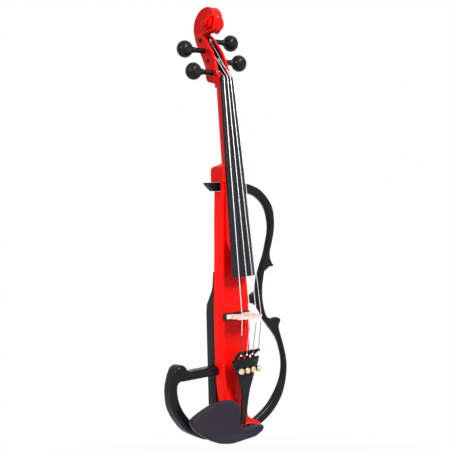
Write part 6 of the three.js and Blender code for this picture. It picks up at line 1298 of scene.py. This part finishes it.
mesh = sawn("bridge_plank", [bridge_outline, heart], 1.0, 0.22)
form = bmesh.new()
form.from_mesh(mesh)
bmesh.ops.remove_doubles(form, verts=form.verts, dist=1e-4)
bmesh.ops.recalc_face_normals(form, faces=form.faces)
form.to_mesh(mesh)
form.free()
flat = np.empty(len(mesh.vertices) * 3)
mesh.vertices.foreach_get("co", flat)
flat = flat.reshape(-1, 3)
thickness = FOOT_HALF_THICKNESS + (CREST_HALF_THICKNESS - FOOT_HALF_THICKNESS) * flat[:, 1] / bridge_top
stood = np.stack((flat[:, 0], BRIDGE_BASE - flat[:, 1], BRIDGE_HEIGHT + flat[:, 2] * thickness), -1)
mesh.vertices.foreach_set("co", to_scene(stood).ravel())
mesh.polygons.foreach_set("use_smooth", [True] * len(mesh.polygons))
mesh.set_sharp_from_angle(angle=math.radians(40))
mesh.materials.clear()
mesh.materials.append(maple)
bridge = bpy.data.objects.new("bridge_sawn", mesh)
bpy.context.scene.collection.objects.link(bridge)
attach(bridge, "violin")
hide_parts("bridge")
print("bridge:", len(mesh.polygons), "faces")

# %% [markdown]
# The pickup is a thin black plate that lies between the bridge's feet and the body, where it feels the bridge's
# movements. A rectangle with round corners and the arms' own bar function make it.

# %% Pickup plate
def rounded_rectangle(half_width, low, high, radius, steps=7):
    """A line round a rectangle in X and Z whose corners are quarter circles."""
    quarter = np.linspace(0, np.pi / 2, steps)
    corners = ((half_width - radius, high - radius, 0), (-half_width + radius, high - radius, 0.5 * np.pi),
               (-half_width + radius, low + radius, np.pi), (half_width - radius, low + radius, 1.5 * np.pi))
    return np.concatenate([np.stack((x + radius * np.cos(t + quarter), z + radius * np.sin(t + quarter)), -1)
                           for x, z, t in corners])


pickup = bar(rounded_rectangle(24.2, 156, 166, 2.0), -3.7, -0.3, 0.7, 5)
piece("pickup_plate", [pickup], pickup_black, instead=["pickup_base"])

# %% [markdown]
# The chinrest is a kidney-shaped plate with a bowl for the jaw, carved from dark wood and oiled rather than lacquered.
# Its outline goes round once; rings inside it first roll over the edge and then shrink towards a point in
# the plate. On the front the depth of each point comes from the bowl, which is part of a large squashed ball.

# %% Chinrest plate
chin_shares = [(-0.742, 0.525), (-0.676, 0.642), (-0.504, 0.783), (-0.383, 0.828), (-0.25, 0.837), (-0.162, 0.792),
               (-0.102, 0.683), (-0.075, 0.525), (-0.07, 0.23), (-0.043, 0.145), (0.1, 0.118), (0.222, 0.108),
               (0.222, -0.01), (0.152, -0.087), (0.1, -0.12), (-0.04, -0.137), (-0.193, -0.158), (-0.309, -0.125),
               (-0.395, -0.073), (-0.514, 0.05), (-0.614, 0.192), (-0.695, 0.325)]
CHIN_WIDTH, CHIN_HEIGHT, CHIN_STEPS = 128, 60, 9
CHIN_FRONT, CHIN_BACK, CHIN_ROUND, BACK_ROUND = -20.5, -8.5, 3.4, 2.4
CHIN_MIDDLE = np.array((-25.0, 5.0))
BOWL_TILT, BOWL_LONG, BOWL_HIGH, BOWL_SOFT = 14, 62.5, 42.5, 0.7
closed = np.array(chin_shares[-2:] + chin_shares + chin_shares[:3]) * (CHIN_WIDTH, CHIN_HEIGHT)
line = spline(closed, CHIN_STEPS)[2 * CHIN_STEPS:(2 + len(chin_shares)) * CHIN_STEPS][::-1]


def bowl_depth(x, z):
    """Front face of the plate: its flat rim, and the squashed ball where that lies deeper. The two are blended by the
    logarithm of a sum of exponentials, so that the rim of the bowl is soft."""
    tilt = math.radians(BOWL_TILT)
    dx, dz = x + CHIN_WIDTH * 0.33, z - CHIN_HEIGHT * 0.36
    along, across = dx * math.cos(tilt) - dz * math.sin(tilt), dx * math.sin(tilt) + dz * math.cos(tilt)
    inside = np.maximum(1 - (along / BOWL_LONG)**2 - (across / BOWL_HIGH)**2, 0)
    ball = -32.0 + 18 * np.sqrt(inside)
    return CHIN_FRONT + BOWL_SOFT * np.logaddexp(0, (ball - CHIN_FRONT) / BOWL_SOFT)


way = np.roll(line, -1, axis=0) - np.roll(line, 1, axis=0)
way /= np.linalg.norm(way, axis=1)[:, None]
normal = np.stack((-way[:, 1], way[:, 0]), -1)
if np.sum(line[:, 0] * np.roll(line[:, 1], -1) - np.roll(line[:, 0], -1) * line[:, 1]) < 0:
    normal = -normal
turn = np.linspace(0, np.pi / 2, 8)
print("chinrest outline:", len(line), "points")
rolled = [line + CHIN_ROUND * (1 - math.sin(t)) * normal for t in turn]
drop = [CHIN_ROUND * (1 - math.cos(t)) for t in turn]
inside = [CHIN_MIDDLE + (rolled[0] - CHIN_MIDDLE) * s for s in np.linspace(0.02, 0.98, 26)]
rings = [np.stack((p[:, 0], bowl_depth(p[:, 0], p[:, 1]), p[:, 1]), -1) for p in inside]
rings += [np.stack((p[:, 0], np.maximum(bowl_depth(p[:, 0], p[:, 1]), CHIN_FRONT) + d, p[:, 1]), -1)
          for p, d in zip(rolled, drop)]
rings += [np.stack((q[:, 0], np.full(len(q), CHIN_BACK - BACK_ROUND * (1 - math.cos(t))), q[:, 1]), -1)
          for t in turn[::-1] for q in [line + BACK_ROUND * (1 - math.sin(t)) * normal]]
rings += [np.stack((q[:, 0], np.full(len(q), CHIN_BACK), q[:, 1]), -1)
          for s in (0.7, 0.35, 0.05) for q in [CHIN_MIDDLE + (line + BACK_ROUND * normal - CHIN_MIDDLE) * s]]
pads = [bar(rounded_rectangle(4.5, 0.3, 8.0, 0.8, 4) + (side * 17.5, 0), CHIN_BACK - 2.0, -2.6, 0.4, 4)
        for side in (-1, 1)]
piece("chinrest_carved", [sew(np.array(rings)), *pads], rest_wood, instead=["chinrest_plate"])

# %% [markdown]
# Cork pads keep the clamp from marking the lacquer. Behind the plate a foot and a bracket grip the body, drawn together
# by two barrels with a thread inside. All of them are small and half hidden, so the CAD's shapes will do.

# %% Cork and clamp
for node in ("chinrest_cork_left", "chinrest_cork_right", "chinrest_cork_rear"):
    broken_edges(node, cork, 0.35)
broken_edges("chinrest_foot", nickel_plate, 0.3)
broken_edges("chinrest_bracket", nickel_plate, 0.3)
for side in ("left", "right"):
    broken_edges(f"chinrest_barrel_{side}", nickel_plate, 0.25, body=f"chinrest_barrel_{side}")

# %% [markdown]
# The rear housing, its door and the controls are boxes and turned parts. Their CAD shapes are kept, with the
# edges broken: wide on the lacquered bars, which a painter sands round, and narrow on moulded and plated parts.

# %% Housing, door and controls
broken_edges("upper_crossbar", black_lacquer, 0.9, segments=4)
broken_edges("rear_housing", black_lacquer, 0.5, segments=3, sharper_than=25)
broken_edges("battery_door", satin_black, 0.3, body="battery_door")
broken_edges("battery_clip", satin_black, 0.3)
broken_edges("power_switch_lever", satin_black, 0.3, body="power_switch_lever")
broken_edges("power_switch_body", nickel_plate, 0.2)
for control in ("volume", "tone"):
    broken_edges(f"{control}_knob", knob_black, 0.25, body=f"{control}_knob")
for jack in ("headphone_jack", "output_jack"):
    broken_edges(jack, nickel_plate, 0.25)

# %% [markdown]
# A screw needs its cross recess to read as a screw. The head is turned, and four wedges of the ring are pressed in:
# near the two lines of the cross the surface drops by most of the head's height. That keeps one closed surface, which
# a Boolean with a cross wouldn't.

# %% Housing screws
HOUSING_FRONT = HOUSING_DEPTH = 18.3
DOME_RADIUS, DOME_RINGS, SCREW_SIDES = 2.2, 24, 96
CROSS_HALF, CROSS_SLOPE, CROSS_REACH, CROSS_END, CROSS_DEPTH = 0.42, 0.16, 1.75, 0.25, 0.75
radius = np.concatenate((np.linspace(0.02, DOME_RADIUS, DOME_RINGS), (2.35, 2.5, 2.6, 2.6)))
height = np.concatenate((-0.35 * (radius[:DOME_RINGS] / DOME_RADIUS)**2 * 0.55, (-0.28, -0.42, -0.6, -1.3)))
angle = np.linspace(0, 2 * np.pi, SCREW_SIDES, endpoint=False)
px, pz = radius[:, None] * np.cos(angle), radius[:, None] * np.sin(angle)
near_cross = np.minimum(np.abs(px), np.abs(pz))
sink = (np.clip((CROSS_HALF - near_cross) / CROSS_SLOPE, 0, 1)
        * np.clip((CROSS_REACH - radius[:, None]) / CROSS_END, 0, 1))
shank_radius = np.array((1.3, 1.3, 0.9, 0.05))[:, None]
for index, (x, z) in enumerate(((-16, 19.6), (16, 19.6), (-16, 199), (16, 199))):
    head_back = HOUSING_FRONT + HOUSING_DEPTH * (0.15 if index > 1 else 0.78)
    cap = np.stack((x + px, head_back + height[:, None] - CROSS_DEPTH * sink, z + pz), -1)
    shank_y = np.array((head_back - 1.3, 13.3, 12.4, 12.0))[:, None]
    shank = np.stack((x + shank_radius * np.cos(angle), np.repeat(shank_y, SCREW_SIDES, 1),
                      z + shank_radius * np.sin(angle)), -1)
    piece(f"housing_screw_{index + 1}_crossed", [sew(np.concatenate((cap, shank)))], nickel_plate,
          instead=[f"housing_screw_{index + 1}"], crease=50)

# %% [markdown]
# What stays CAD needs only its finish: the parts inside the housing, and small parts with no edge to soften. Every
# slot of such a node gets the procedural material that its dressed neighbours wear.

# %% Finishes for the CAD parts that stay
def dress_cad(finish, *nodes):
    """Gives each material slot of each CAD node the finish."""
    for name in nodes:
        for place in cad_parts[name].material_slots:
            place.material = finish
        print(name, "wears", finish.name)


dress_cad(nickel_plate, "volume_pot", "tone_pot")
dress_cad(circuit_green, "circuit_board")
dress_cad(battery_steel, "battery")
dress_cad(nylon, "pickup_wire")
